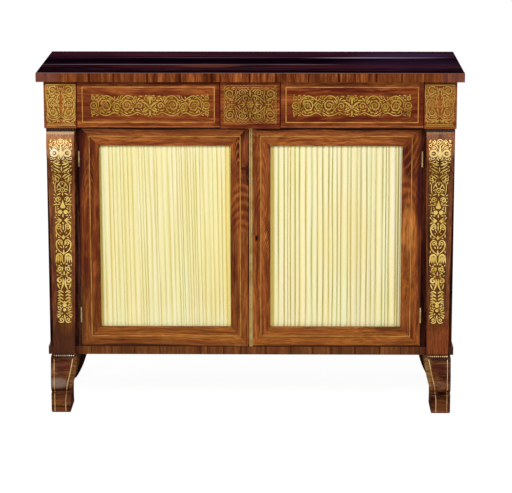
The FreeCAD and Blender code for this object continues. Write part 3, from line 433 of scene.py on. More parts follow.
# The figure of each stile of the doors. Arches are rows of a centre, how far they reach,
# their spacing, curve and lean, and their strength.
FIGURE = {
    "left_door_hinge_stile": dict(marks=upright(
        (-460, 690, 20, 130, (40, 6, 14), 1.0),
        (-448, 740, 12, 40, (70, 20, 12), 0.7),
        (-460, 500, 9, 200, (52, 14, 10), 0.9),
        (-434, 650, 10, 90, (150, 78, 36), 0.5),
        (-424, 634, 3.6, 6, (196, 118, 60), 0.7),
        (-428, 610, 6, 34, (168, 92, 42), 0.5),
        (-449, 250, 8, 120, (92, 54, 24), 0.8),
        (-438, 250, 5, 60, (176, 108, 52), 0.5),
        (0, 240, 0, 120, (118, 72, 28), 0.4)),
        arches=[((-430, 0, 640), (24, 0, 70), 26, 0.16, 0.4, 0.35)]),
    "left_door_meeting_stile": dict(marks=upright(
        (-6, 650, 8, 36, (20, 2, 8), 1.0),
        (-14, 664, 14, 5, (44, 8, 10), 0.85),
        (-12, 720, 6, 46, (176, 92, 58), 0.45),
        (-30, 470, 26, 40, (158, 94, 40), 0.45),
        (-46, 530, 8, 50, (96, 40, 20), 0.5),
        (0, 270, 0, 110, (148, 92, 36), 0.3),
        (-4, 500, 4, 200, (62, 20, 12), 0.85)),
        arches=[((-22, 0, 570), (32, 0, 84), 25, 0.03, 0.0, 0.62),
                ((-33, 0, 712), (15, 0, 44), 24, 0.35, -0.6, 1.0)]),
    "right_door_hinge_stile": dict(marks=upright(
        (450, 620, 10, 150, (44, 10, 20), 1.0),
        (452, 380, 6, 130, (60, 20, 18), 0.8),
        (434, 470, 9, 90, (196, 118, 52), 0.55),
        (411, 624, 12, 9, (92, 38, 16), 0.6),
        (415, 690, 9, 66, (62, 18, 8), 0.95),
        (424, 668, 8, 30, (66, 20, 10), 0.85),
        (436, 650, 9, 7, (66, 22, 12), 0.6),
        (422, 730, 8, 30, (120, 52, 24), 0.7),
        (420, 510, 18, 80, (224, 142, 66), 0.6),
        (424, 330, 24, 110, (190, 112, 46), 0.45)),
        arches=[((424, 0, 706), (28, 0, 66), 29, -0.03, -1.5, 0.45),
                ((424, 0, 600), (26, 0, 50), 30, 0.04, 0.8, 0.35)]),
    "right_door_meeting_stile": dict(marks=upright(
        (17, 765, 13, 12, (206, 122, 56), 0.75),
        (40, 484, 3.4, 12, (206, 140, 74), 0.6),
        (44, 460, 3.4, 12, (200, 124, 56), 0.6),
        (47, 690, 7, 40, (176, 88, 56), 0.35),
        (17, 600, 4, 80, (86, 30, 20), 0.5),
        (16, 400, 4, 60, (80, 30, 16), 0.5)),
        arches=[((40, 0, 470), (16, 0, 60), 15, 0.0, -2.6, 0.5),
                ((30, 0, 650), (26, 0, 100), 30, 0.2, 1.0, 0.35)]),
}
RAIL_TINTS_AND_LIGHT = upright(
    (0, 215, 0, 40, (160, 102, 34), 0.45),
    (-240, 187, 230, 11, (108, 63, 28), 0.5),
    (230, 205, 240, 30, (176, 104, 44), 0.45),
    # A painted pool of light along the top rails, against the frieze's shadow.
    (0, 765, 0, 10, (214, 122, 62), 0.6))
GAP_SHADE = upright(
    (0, 177.5, 0, 3.4, (44, 18, 10), 0.9),
    (0, 776, 0, 4.6, (30, 8, 5), 0.95))


def dress_frieze(side, sign, number):
    """A drawer front and the block beside it."""
    front_tints_and_shade = upright(
        (sign * 265, 843, 168, 31, (112, 56, 16), 0.7),
        (-340, 888, 60, 8, (188, 110, 50), 0.5),
        (-150, 868, 70, 5, (74, 14, 12), 0.6),
        (-432, 835, 26, 50, (100, 44, 18), 0.7),
        (-86, 850, 9, 60, (84, 20, 12), 0.8),
        (98, 820, 26, 34, (98, 36, 18), 0.6),
        (448, 845, 12, 60, (88, 28, 14), 0.8),
        # Painted shade in the gaps at the drawer's ends and along its lower edge.
        (sign * 78.8, 0, 2.4, 0, (52, 8, 8), 0.9),
        (sign * 456.2, 0, 2.4, 0, (52, 8, 8), 0.9),
        (0, 783.4, 0, 1.4, (60, 16, 10), 0.9),
        (0, 787, 0, 1.8, (186, 116, 66), 0.6))
    block_marks = upright(
        (0, 850, 0, 44, (146, 90, 30), 0.8),
        (sign * 496, 842, 6, 24, (184, 104, 42), 0.5),
        (0, 785, 0, 5, (160, 92, 40), 0.6))
    for name, seed, marks, node in (("drawer", 20, front_tints_and_shade, "drawer_front"),
                                    ("block", 23, block_marks, "frieze_block")):
        dress(wood(f"{side}_{name}_veneer", "x", ROSE_RED, seed + number, specular=0.05,
                   marks=marks), f"{side}_{node}")


def dress_door(side, number):
    """The veneered stiles and rails of a door, its fittings and its bare silk frame."""
    for part, seed, grain, tones in (("hinge_stile", 30, "z", ROSE),
                                     ("meeting_stile", 34, "z", (ROSE, ROSE_PALE)[number]),
                                     ("rails", 38, "x", ROSE_PALE)):
        name = f"{side}_door_{part}"
        figure = dict(marks=RAIL_TINTS_AND_LIGHT) if part == "rails" else FIGURE[name]
        dress(wood(name + "_veneer", grain, tones, seed + number, specular=0.06,
                   sheen=GAP_SHADE, **figure), name)
    dress(BRASS_LINE, f"{side}_door_stringing")
    dress(BRASS_PALE, f"{side}_door_hinge_leaves")
    dress(wood(f"{side}_silk_frame_pine", "z", PINE, 66 + number, gloss=0.6, streak=0.1),
          f"{side}_door_silk_frame")


def dress_foot(side, sign, number):
    """A scroll foot, paler along its inner edge."""
    inner_tone = ((126, 86, 50), (156, 116, 68))[number]
    marks = upright(
        (sign * 505, 128, 24, 14, (84, 32, 26), 0.6),
        (sign * 492, 104, 14, 22, (128, 74, 34), 0.5),
        # A paler band over the groove, painted light against its shadow.
        (sign * 506, 62, 60, 5, (132, 74, 46), 0.7),
        (sign * 476, 110, 11, 70, inner_tone, 0.8),
        (sign * 512, 24, 20, 22, (132, 76, 38), 0.6))
    # A painted highlight on the left knee, and painted shade in the right foot's recess.
    sheen = upright((-518, 88, 30, 15, (128, 106, 90), 0.75),
                    (514, 57, 15, 4, (26, 8, 6), 0.9))
    dress(wood(f"{side}_foot_veneer", "x", DUSKY, 46 + number, gloss=0.4, specular=0.0,
               wave=0.03, marks=marks, sheen=sheen), f"front_{side}_foot")


def dress_case(side, sign, number):
    """A side of the case, with its console and the stile behind that."""
    low_tone = ((66, 34, 16), (138, 68, 27))[number]
    # The head's tan and then its painted highlight, for each side.
    head_tan_and_highlight = (((184, 122, 70), (206, 154, 96)), ((156, 94, 48), (176, 120, 64)))[number]
    dress(console_veneer(f"{side}_console_veneer", sign, CONSOLE, 42 + number, low_tone,
                         head_tan_and_highlight), f"{side}_console")
    dress(wood(f"{side}_side_veneer", "z", DUSKY, 50 + number, specular=0.08),
          f"{side}_side_panel")
    dress(wood(f"{side}_stile_veneer", "z", STILE_SHADED, 54 + number, specular=0.03,
               marks=upright((-461.5, 300, 4.5, 260, (92, 58, 42), 0.7))),
          f"{side}_front_stile")


def dress_drawer(side, number):
    """The bare oak of a drawer and the line on its front."""
    dress(BRASS_DRAWER, f"{side}_drawer_stringing")
    dress(wood(f"{side}_drawer_oak", "y", OAK, 58 + number, gloss=0.6, streak=0.1),
          f"{side}_drawer_sides", f"{side}_drawer_bottom")
    dress(wood(f"{side}_drawer_back_oak", "x", OAK, 62 + number, gloss=0.6, streak=0.1),
          f"{side}_drawer_back")


for number, (side, sign) in enumerate(SIDES):
    dress_frieze(side, sign, number)
    dress_door(side, number)
    dress_foot(side, sign, number)
    dress_case(side, sign, number)
    dress_drawer(side, number)
dress(crossband("top_banding", BANDING, 3, 0.085, (0.505, (104, 62, 54), 0.6),
                top=BLACK_ROSE, top_tints_and_reflections=TOP_TINTS_AND_REFLECTIONS), "top_board")
# The rail's darker ends are painted shadow where the consoles stand over them.
dress(crossband("rail_banding", RAIL, 5, 0.06, (0.462, (66, 34, 24), 0.8)), "base_rails")
dress(wood("tablet_veneer", "x", ROSE_RED, 70, specular=0.05,
           marks=upright((0, 845, 62, 48, (86, 42, 14), 0.75))), "frieze_tablet")
dress(edged("pine_across", "x", 71), "carcass_floor", "dust_board", "top_rails",
      "shelf", "door_stops")
dress(edged("pine_deep", "y", 72), "drawer_partitions", "drawer_guides",
      "shelf_bearers")
dress(boarded("pine_back", "back_boards", BACK_BOARDS, PINE, 73), "back_boards")
dress(wood("ebonised", "z", EBONY, 74, gloss=0.4, specular=0.03), "rear_feet",
      "glue_blocks")
dress(BRASS_DULL, "keyhole_escutcheon")
dress(BRASS_PALE, "hinge_frame_leaves", "hinge_pins")
dress(BRASS_BAR, "meeting_astragal")
dress(BRASS_CAST, "lock_keeper", "door_bolt_case", "door_bolt_rod")
dress(STEEL, "lock_case", "lock_bolt", "bolt_strike")


# Building pieces --------------------------------------------------------------------

def linked(name, data):
    """A new object in the scene."""
    made = bpy.data.objects.new(name, data)
    bpy.context.scene.collection.objects.link(made)
    return made


def piece(name, points, faces, material, body, smooth=True):
    """A mesh object from points in metres, riding on a body."""
    mesh = bpy.data.meshes.new(name)
    mesh.from_pydata([tuple(p) for p in points], [], faces)
    mesh.validate()
    mesh.update()
    if smooth:
        mesh.shade_smooth()
    made = linked(name, mesh)
    mesh.materials.append(material)
    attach(made, body)
    return made


def surface_of(node):
    """A function giving the place in Y where a look along +Y first meets a node."""
    mesh = nodes[node].data
    tree = bvhtree.BVHTree.FromPolygons([v.co.copy() for v in mesh.vertices],
                                        [list(p.vertices) for p in mesh.polygons])

    def front(x, z):
        hit = tree.ray_cast(Vector((x, -1, z)), Vector((0, 1, 0)))[0]
        return hit.y if hit else None
    return front


# Ornament ---------------------------------------------------------------------------
# It is drawn in millimetres on a flat sheet, as a list of closed outlines.

def ribbon(points, widths):
    """A band along a line of points. Its width varies."""
    points = np.array(points, float)
    along = np.gradient(points, axis=0)
    along /= np.linalg.norm(along, axis=1)[:, None] + 1e-9
    share = np.linspace(0, 1, len(points))
    half = np.interp(share, np.linspace(0, 1, len(widths)), widths)[:, None] / 2
    normal = np.stack([-along[:, 1], along[:, 0]], 1)
    return [np.concatenate([points + normal * half, (points - normal * half)[::-1]])]


def bow(x, y, heading, length, bend, steps=7):
    """The points of an arc that sets off at a heading and turns by a bend."""
    path = [(x, y)]
    for step in range(steps):
        angle = math.radians(heading + bend * (step + 0.5) / steps)
        x += math.cos(angle) * length / steps
        y += math.sin(angle) * length / steps
        path.append((x, y))
    return path


def curve(*knots, steps=7):
    """A smooth line through some points."""
    knots = [np.array(k, float) for k in knots]
    knots = [2 * knots[0] - knots[1], *knots, 2 * knots[-1] - knots[-2]]
    path = []
    for a, b, c, d in zip(knots, knots[1:], knots[2:], knots[3:]):
        for t in np.linspace(0, 1, steps, endpoint=False):
            path.append(0.5 * (2 * b + (c - a) * t + (2 * a - 5 * b + 4 * c - d) * t ** 2
                               + (3 * b - a - 3 * c + d) * t ** 3))
    return path + [knots[-2]]


def whorl(x, y, outer, inner, start, turn, steps=30):
    """The points of a spiral from its outer end inwards, turning by a given angle."""
    share = np.linspace(0, 1, steps)
    angle = np.radians(start + turn * share)
    radius = outer + (inner - outer) * share ** 0.85
    return list(zip(x + radius * np.cos(angle), y + radius * np.sin(angle)))


def disc(x, y, radius, sides=12):
    angle = np.linspace(0, 2 * math.pi, sides, endpoint=False)
    return [np.stack([x + radius * np.cos(angle), y + radius * np.sin(angle)], 1)]


def ring(x, y, radius, width):
    return ribbon(whorl(x, y, radius, radius, 0, 360, 20), [width])


LEAF = np.array((0.35, 0.85, 1.0, 0.85, 0.5, 0.08))
COMMA = np.array((0.5, 1.0, 1.0, 0.8, 0.5, 0.12))


def leaf(x, y, heading, length, width, bend=0.0):
    return ribbon(bow(x, y, heading, length, bend), width * LEAF)


def spray(x, y, heading, length, width, fan=38, bend=35):
    """Three leaves from one point, the outer two curling away."""
    return (leaf(x, y, heading, length, width)
            + leaf(x, y, heading + fan, length * 0.8, width * 0.85, bend)
            + leaf(x, y, heading - fan, length * 0.8, width * 0.85, -bend))


def rosette(x, y, radius, petals):
    drawn = disc(x, y, radius * 0.3)
    near = radius * 0.42
    for petal in range(petals):
        angle = 2 * math.pi * petal / petals
        drawn += leaf(x + near * math.cos(angle), y + near * math.sin(angle),
                      math.degrees(angle), radius * 0.62, radius * 0.42)
    return drawn


def scroll(x, y, radius, start, turn, band, leaves, flower=True):
    """A spiral band with leaves along its outside and a flower or eye at its heart."""
    path = whorl(x, y, radius, radius * 0.3, start, turn)
    drawn = ribbon(path, [band * w for w in (0.7, 1.15, 1.2, 1.0, 0.75, 0.6)])
    side = math.copysign(1, turn)
    for number in range(leaves):
        at = int(len(path) * (0.06 + 0.5 * number / max(leaves, 1)))
        (ax, ay), (bx, by) = path[at], path[at + 1]
        heading = math.degrees(math.atan2(by - ay, bx - ax))
        drawn += leaf(ax, ay, heading - side * 42, radius * 0.42, band * 1.25, side * 55)
    if flower:
        drawn += rosette(x, y, radius * 0.3, 5)
    else:
        drawn += disc(*path[-1], band * 0.9)
    return drawn


def both(drawn):
    """What is drawn, and its mirror image across the upright axis."""
    return drawn + [shape * (-1, 1) for shape in drawn]


def four(drawn):
    """What is drawn in one quarter, mirrored both ways."""
    half = both(drawn)
    return half + [shape * (1, -1) for shape in half]


def covered(places, shapes):
    """Which places lie inside at least one of the outlines, by their winding."""
    inside = np.zeros(len(places), bool)
    order = np.argsort(places[:, 0])
    sorted_x = places[order, 0]
    for shape in shapes:
        low, high = shape.min(0), shape.max(0)
        near = order[np.searchsorted(sorted_x, low[0]):np.searchsorted(sorted_x, high[0])]
        near = near[(places[near, 1] > low[1]) & (places[near, 1] < high[1])
                    & ~inside[near]]
        x, y = places[near].T
        ax, ay = (column[:, None] for column in shape.T)
        bx, by = (column[:, None] for column in np.roll(shape, -1, 0).T)
        side = (bx - ax) * (y - ay) - (x - ax) * (by - ay)
        turns = (((ay <= y) & (by > y) & (side > 0)).sum(0)
                 - ((ay > y) & (by <= y) & (side < 0)).sum(0))
        inside[near] = turns != 0
    return inside


FINE = ((13, 3.2, 500), (9.5, 2.8, 900), (7, 2.4, 1500), (4.6, 2.0, 1800))
BOLD = ((13, 3.8, 600), (9.5, 3.2, 900), (7, 2.8, 1400), (4.4, 2.4, 1400))


def packed(drawn, low, high, hearts, seed, plain=None, clear=1.2, sizes=FINE):
    """Comma leaves that fill what is free between shapes, curling about some hearts."""
    chance = random.Random(seed)
    step = 0.4
    low, high = np.array(low, float), np.array(high, float)
    across, up = (np.arange(low[k], high[k], step) for k in (0, 1))
    grid = np.stack(np.meshgrid(across, up, indexing="ij"), -1).reshape(-1, 2)
    taken = covered(grid, drawn)
    shape = (len(across), len(up))
    grown = taken.reshape(shape).copy()
    reach = round(clear / step)
    for i in range(-reach, reach + 1):
        for j in range(-reach, reach + 1):
            if i * i + j * j <= reach * reach + 1:
                grown |= np.roll(taken.reshape(shape), (i, j), (0, 1))
    if plain:
        grown |= plain(grid[:, 0], grid[:, 1]).reshape(shape)
    added = []
    for length, width, tries in sizes:
        for _ in range(tries):
            x, y = chance.uniform(low[0], high[0]), chance.uniform(low[1], high[1])
            spin, sway = chance.uniform(-35, 35), chance.uniform(20, 110)
            if grown[min(int((x - low[0]) / step), shape[0] - 1),
                     min(int((y - low[1]) / step), shape[1] - 1)]:
                continue
            hx, hy, way = min(hearts, key=lambda h: (x - h[0]) ** 2 + (y - h[1]) ** 2)
            heading = math.degrees(math.atan2(y - hy, x - hx)) + way * (90 + spin)
            path = bow(x, y, heading, length, way * sway)
            outline = ribbon(path, width * COMMA)[0]
            cells = ((np.concatenate([outline, path]) - low) / step).astype(int)
            if (cells < 0).any() or (cells >= shape).any() or grown[tuple(cells.T)].any():
                continue
            added.append(outline)
            for (px, py), share in zip(path, np.interp(np.linspace(0, 1, len(path)),
                                                       np.linspace(0, 1, 6), COMMA)):
                radius = width * share / 2 + clear
                i0, j0 = ((np.array((px, py)) - radius - low) / step).astype(int).clip(0)
                block = grown[i0:i0 + int(2 * radius / step) + 2,
                              j0:j0 + int(2 * radius / step) + 2]
                bx = across[i0:i0 + block.shape[0], None] - px
                by = up[None, j0:j0 + block.shape[1]] - py
                block |= bx ** 2 + by ** 2 < radius ** 2
    return added


def border(half_width, half_height, width=1.3, dip=1.7, scallop=11):
    """A scalloped line around a field."""
    drawn = []
    for across, up, turned in ((half_width, half_height, False),
                               (half_height, half_width, True)):
        along = np.linspace(-across, across, 90)
        count = round(2 * across / scallop)
        rise = up - dip * np.abs(np.cos(along / across * count * math.pi / 2))
        for sign in (-1, 1):
            path = np.stack([along, sign * rise], 1)
            drawn += ribbon(path[:, ::-1] if turned else path, [width])
    return drawn


def drawer_ornament():
    """A running scroll of leaves from the middle of a drawer to a flourish at each end."""
    hearts = [(113, -1, 1), (86, -1, -1), (59, 0, 1), (27, 0, -1), (0, 3, 1), (84, 18, 1),
              (140, 8, -1), (140, -10, 1)]
    half = scroll(113, -1, 15.5, 20, 560, 2.4, 5) + scroll(86, -3, 9.5, 200, -480, 2.0, 3)
    half += scroll(59, 0, 14, 160, -540, 2.4, 5) + scroll(27, -1, 9, -30, 470, 1.9, 3)
    half += ribbon(curve((134, -6), (130, 12), (114, 23.5), (99, 19), (90, 12), (84, 16),
                         (80, 24)), [1.2, 2.4, 2.6, 2.2, 1.2])
    half += ribbon(curve((84, 16), (74, 12), (68, 19), (57, 24), (44, 20), (38, 10),
                         (34, 22)), [1.2, 2.4, 2.6, 2.2, 1.2])
    half += ribbon(curve((135, -15), (124, -23), (108, -24), (95, -18), (86, -19), (78, -25)),
                   [1.0, 2.4, 2.4, 1.0])
    half += ribbon(curve((78, -16), (72, -19), (60, -25), (44, -22), (32, -17), (18, -23)),
                   [1.0, 2.4, 2.4, 1.0])
    half += ring(146, 18.5, 4.4, 1.8) + ring(145, 0, 8, 2.0) + rosette(145, 0, 5.4, 5)
    half += ring(146, -18.5, 4.4, 1.8) + disc(146, 18.5, 1.3) + disc(146, -18.5, 1.3)
    half += leaf(149, 23, 80, 6, 2.4, 60) + leaf(149, -23, -80, 6, 2.4, -60)
    half += leaf(139, 24, 150, 9, 2.6, 50) + leaf(139, -25, 170, 9, 2.6, -40)
    centre = both(leaf(3, -4, 62, 26, 4.4, -60) + leaf(4, -8, -48, 20, 4.0, 60)
                  + leaf(3, 14, 75, 12, 3.0, 30) + ring(10, 17, 4.0, 1.6))
    centre += leaf(0, 3, 90, 24, 5.4) + rosette(0, -4, 6, 6) + leaf(0, -12, -90, 15, 5)

    def outside(x, y):
        return (np.abs(y) > 25.5 + 2.2 * np.cos((x - 113) / 54 * 2 * math.pi)) | (x > 152)
    half += packed(half + centre, (0.6, -28), (153, 28), hearts, 5, outside, 1.0)
    return [shape * (1.02, 1.08) for shape in both(half) + centre]


def tablet_ornament():
    """A square field of scrolls about a middle rosette, within a border."""
    hearts = [(53, 27, 1), (22, 31, -1), (12, 16, 1), (48, 2, -1), (34, 14, 1), (40, 42, -1)]
    quarter = scroll(53, 28, 13, -120, 520, 2.4, 5) + scroll(22, 31, 9.5, 210, -500, 2.2, 4)
    quarter += scroll(12.5, 15, 7.5, 120, -330, 2.2, 2, False)
    quarter += rosette(48, 0, 8, 4) + ribbon(curve((3, 8), (8, 24), (22, 20), (36, 8),
                                                   (42, 4)), [1.2, 2.2, 2.2, 1.2])
    quarter += ribbon(curve((40, 6), (36, 20), (38, 34), (34, 44)), [1.2, 2.4, 2.2, 1.0])
    quarter += ribbon(curve((2, 44), (12, 45), (26, 44), (34, 46)), [1.4, 2.0, 1.4])
    middle = rosette(0, 0, 10, 8) + both(spray(13, 0, 0, 16, 3.6, 30))
    middle += leaf(0, 20, 90, 20, 4.6) + leaf(0, -20, -90, 20, 4.6)
    quarter += packed(four(quarter) + middle, (0.6, 0.6), (67.2, 48.6), hearts, 6)
    return four(quarter) + middle + border(69, 50.5)


def block_ornament():
    """An upright field for a corner block: scrolls either side of a plain bulb."""
    hearts = [(21, 34, 1), (22, 6, -1), (20, -20, 1), (12, -38, -1), (30, 20, -1)]
    half = scroll(21, 33, 11, 150, -500, 2.3, 4) + ring(33, 20, 3.2, 1.6)
    half += ribbon(curve((2, -6), (9, 6), (8, 18), (3, 27), (9, 42)), [1.0, 2.2, 2.4, 1.6])
    half += ribbon(curve((9, 4), (18, 14), (29, 12), (33, 2), (30, -10)),
                   [1.2, 2.4, 2.4, 1.2])
    half += scroll(20, -17, 10, 80, 480, 2.2, 4) + ring(20, 3, 3.6, 1.8)
    half += ribbon(curve((0, -24), (10, -32), (24, -33), (34, -27)), [1.2, 2.6, 1.6])
    half += ribbon([(0, -44), (34, -44)], [1.6]) + ribbon([(0, -47.5), (36, -47.5)], [1.2])
    half += spray(6, -34, -60, 9, 2.6)

    def bulb(x, y):
        return (x / 3.5) ** 2 + ((y - 2) / 15) ** 2 < 1
    half += packed(half, (0.8, -42), (35, 44.5), hearts, 7, bulb, 1.0)
    half += ribbon([(0, 46), (36.8, 46)], [1.6])
    half += ribbon(curve((36.5, 46), (36.8, 20), (33.5, -8), (35.5, -30), (33, -38)), [1.4])
    return [shape * (1.045, 1.16) for shape in both(half)]


CUT_REACH = 60
LET_IN = 0.5  # How deep a sheet's back lies under the surface.


def console_half(y):
    """Half the width of the console's ornament at a height."""
    return np.interp(y, (243, 478, 590, 700, 766), (19.6, 20.5, 24, 28.5, 29.5))


def console_ornament():
    """A tall candelabrum of rosettes, buds, hearts and leaves. Heights are from the floor."""
    drawn = rosette(0, 749, 5.5, 6) + ring(0, 749, 8, 1.8)
    half = spray(12, 747, 28, 11, 2.6, 50)
    half += ring(26, 741, 3.0, 1.6) + leaf(14, 738, -28, 11, 2.4, 40)
    half += ring(17, 718, 8.6, 5.0) + disc(17, 718, 2.1)
    half += leaf(10, 731, 60, 9, 2.6, -50) + leaf(26, 726, 60, 9, 2.6, 30)
    drawn += ribbon([(0, 740), (0, 730), (0, 716), (0, 703)], [2.4, 5.0, 8.4, 3.0])
    half += leaf(5.4, 705, 98, 24, 2.4, -20) + leaf(2, 699, 28, 13, 3.4, 70)
    half += leaf(14, 705, -60, 10, 3.0, 80) + ring(25, 703, 3.2, 1.8)
    half += leaf(3, 694, -8, 14, 3.2, -60) + leaf(11, 697, 10, 11, 2.8, -80)
    half += leaf(2, 686, 6, 23, 4.4, 38) + leaf(3.5, 677, 14, 22, 3.2, 42)
    half += leaf(2, 664, 40, 27, 4.4, -14) + leaf(13, 664, 20, 12, 3.0, 50)
    half += leaf(2, 650, 66, 17, 3.4, -60) + leaf(6, 647, 40, 22, 3.6, -12)
    half += leaf(13, 636, 62, 20, 3.2, 30) + ring(21, 646, 3.2, 1.6)
    half += ribbon(bow(1, 640, -30, 25, -52), [1.2, 2.4, 1.6])
    half += ribbon(bow(2, 620, 48, 14, 40), [1.2, 2.2, 1.4]) + disc(8, 629, 1.9)
    half += ribbon([(17, 640), (20, 628), (19.5, 614), (17, 604)], [1.0, 2.0, 2.0, 0.8])
    drawn += ring(0, 616, 5.8, 1.9) + disc(0, 616, 1.8)
    half += leaf(5, 606, -12, 13, 3.2, -30) + leaf(6, 618, 10, 11, 2.8, -70)
    half += scroll(12.5, 589, 8.0, 150, -400, 2.6, 0, False) + leaf(19, 600, 40, 8, 2.4)
    half += leaf(15, 579, -50, 13, 2.8, 60) + leaf(6, 578, -35, 14, 2.4, 50)
    drawn += ribbon([(0, 588), (0, 578), (0, 569), (0, 565)], [1.0, 6.0, 15.0, 8.0])
    half += disc(7.4, 555, 6.0) + leaf(19, 572, -95, 22, 2.2, 20) + disc(18, 546, 1.9)
    for number, angle in enumerate((28, 8, -12, -34)):
        half += leaf(3, 532, angle, 17, 2.8, 20 - 12 * number)
    half += ribbon(whorl(12.5, 511, 6.6, 2.0, 200, -400), [1.8, 2.8, 3.0, 2.2, 1.8])
    half += ribbon(curve((6.2, 511), (6.6, 519), (13, 521.5), (19.2, 514), (18.2, 500),
                         (12, 491), (3, 484.5)), [1.8, 2.8, 3.2, 2.8, 2.4, 1.6])
    half += leaf(3, 499, 70, 11, 2.4, -20)
    half += leaf(18.5, 495, -80, 11, 2.8, -20)
    drawn += ribbon([(0, 491), (0, 485), (0, 479)], [1.0, 9.0, 1.0]) + disc(0, 524, 2.6)
    half += ribbon(whorl(10.5, 468, 5.6, 1.8, 210, -380), [1.8, 2.8, 2.6, 2.0])
    half += ribbon(curve((3.6, 463), (4.4, 474), (12, 478), (19, 470), (17.5, 456),
                         (10, 446), (2, 440)), [1.8, 2.6, 3.2, 3.2, 2.6, 1.8])
    half += leaf(5, 455, 60, 9, 2.8, -30) + leaf(18.5, 450, -60, 8, 2.6, -40)
    half += ribbon(curve((3.6, 428), (6, 435.5), (12, 438.5), (18, 435), (20.5, 427)),
                   [3.0, 4.6, 5.0, 4.4, 2.6])
    for number in range(4):
        half += leaf(5.4 + 4.4 * number, 434.5, -96 + 4.5 * number, 21, 4.4)
    half += ribbon(whorl(11, 397, 6.4, 2.0, 160, -400), [2.2, 3.2, 2.6, 1.8])
    half += leaf(18, 406, 60, 7, 2.4) + leaf(4, 404, -100, 14, 3.0, 40)
    half += ribbon(whorl(11.5, 366, 7.6, 2.4, 110, -420), [2.2, 4.6, 4.4, 2.8, 1.8])
    half += ribbon(bow(3.6, 372, -102, 34, 44), [2.0, 4.8, 4.2, 1.6])
    half += leaf(17.5, 357, -100, 17, 3.4, -20) + leaf(15, 379, 20, 6, 2.4)
    for number in range(4):
        half += leaf(2.6, 331 - 9.5 * number, 52, 15 + number, 4.2, -58)
        half += leaf(10.5, 331 - 9.5 * number, 34, 9, 3.2, -30)
    drawn += disc(0, 297, 5.6) + disc(0, 284, 4.4) + disc(0, 305, 2.8)
    for number, angle in enumerate((62, 38, 14, -10, -34)):
        half += leaf(8 + number * 0.6, 285 - number * 4, angle, 12, 2.8, -14)
    half += ribbon(whorl(9, 258, 4.6, 1.6, -100, 380), [2.0, 2.6, 2.2, 1.6])
    half += ribbon(curve((1.5, 264), (4, 252), (10, 249.5), (17, 252)), [1.2, 2.6, 2.6, 1.2])
    half += leaf(15.5, 262, 70, 9, 2.6, -40)
    hearts = [(0, 749, 1), (17, 718, -1), (20, 676, 1), (18, 650, -1), (12, 589, 1),
              (8, 555, -1), (10, 512, 1), (9, 468, -1), (9, 431, 1), (10, 398, -1),
              (9, 373, 1), (8, 335, -1), (8, 300, 1), (9, 256, -1), (8, 640, 1)]

    for y, length, width in ((436, 16, 4.4), (540, 11, 3.4), (505, 17, 3.2), (600, 9, 3.0),
                             (630, 9, 3.0), (380, 12, 3.6), (410, 8, 3.0), (262, 10, 3.6),
                             (668, 14, 3.4), (455, 9, 3.0)):
        drawn += leaf(0, y, 90, length, width)

    def outside(x, y):
        return (x > console_half(y)) | ((x < 3.2) & (y < 690))
    half += packed(half + drawn, (0.7, 692), (29.5, 757), hearts, 9, outside, 1.0)
    half += packed(half + drawn, (0.7, 246), (29.5, 757), hearts, 8, outside, 1.4, BOLD)
    drawn += both(half)
    return [np.stack([shape[:, 0], shape[:, 1] - np.interp(
        shape[:, 1], (230, 320, 420, 530, 590, 645, 672, 700, 716, 733, 748, 766),
        (0, 0.3, 1.8, 2.7, 3.5, 3.5, 2.2, 1.1, 1.2, 1.9, 2.8, 4.3))], 1)
            for shape in drawn]


def inlay(name, body, drawn, centre, front, material, lift=0.12, cuts=()):
    """Cut the drawn shapes from sheet brass as one piece, let into a surface.

    The sheet stands proud by the lift, and bends at the heights of the cuts."""
    points, edges = [], []
    for shape in drawn:
        start, count = len(points), len(shape)
        points += [Vector(p) for p in shape]
        edges += [(start + k, start + (k + 1) % count) for k in range(count)]
    for height in cuts:
        edges.append((len(points), len(points) + 1))
        points += [Vector((-CUT_REACH, height)), Vector((CUT_REACH, height))]
    flat, _, triangles, *_ = geometry.delaunay_2d_cdt(points, edges, [], 0, 1e-3)
    flat = np.array([(p.x, p.y) for p in flat])
    triangles = np.array([face for face in triangles if len(face) == 3])
    triangles = triangles[covered(flat[triangles].mean(1), drawn)]
    used, upper = np.unique(triangles, return_inverse=True)
    upper = upper.reshape(-1, 3).tolist()
    top, under = [], []
    for u, v in flat[used]:
        x, z = (centre[0] + u) * MM, (centre[1] + v) * MM
        y = front(x, z)
        top.append((x, y - lift * MM, z))
        under.append((x, y + LET_IN * MM, z))
    count = len(used)
    sides = {(a, b) for face in upper for a, b in zip(face, face[1:] + face[:1])}
    walls = [[a, a + count, b + count, b] for a, b in sorted(sides) if (b, a) not in sides]
    lower = [[c + count for c in reversed(face)] for face in upper]
    return piece(name, top + under, upper + lower + walls, material, body,
                 smooth=False)


def level(y):
    """The surface of a flat front."""
    return lambda x, z: y


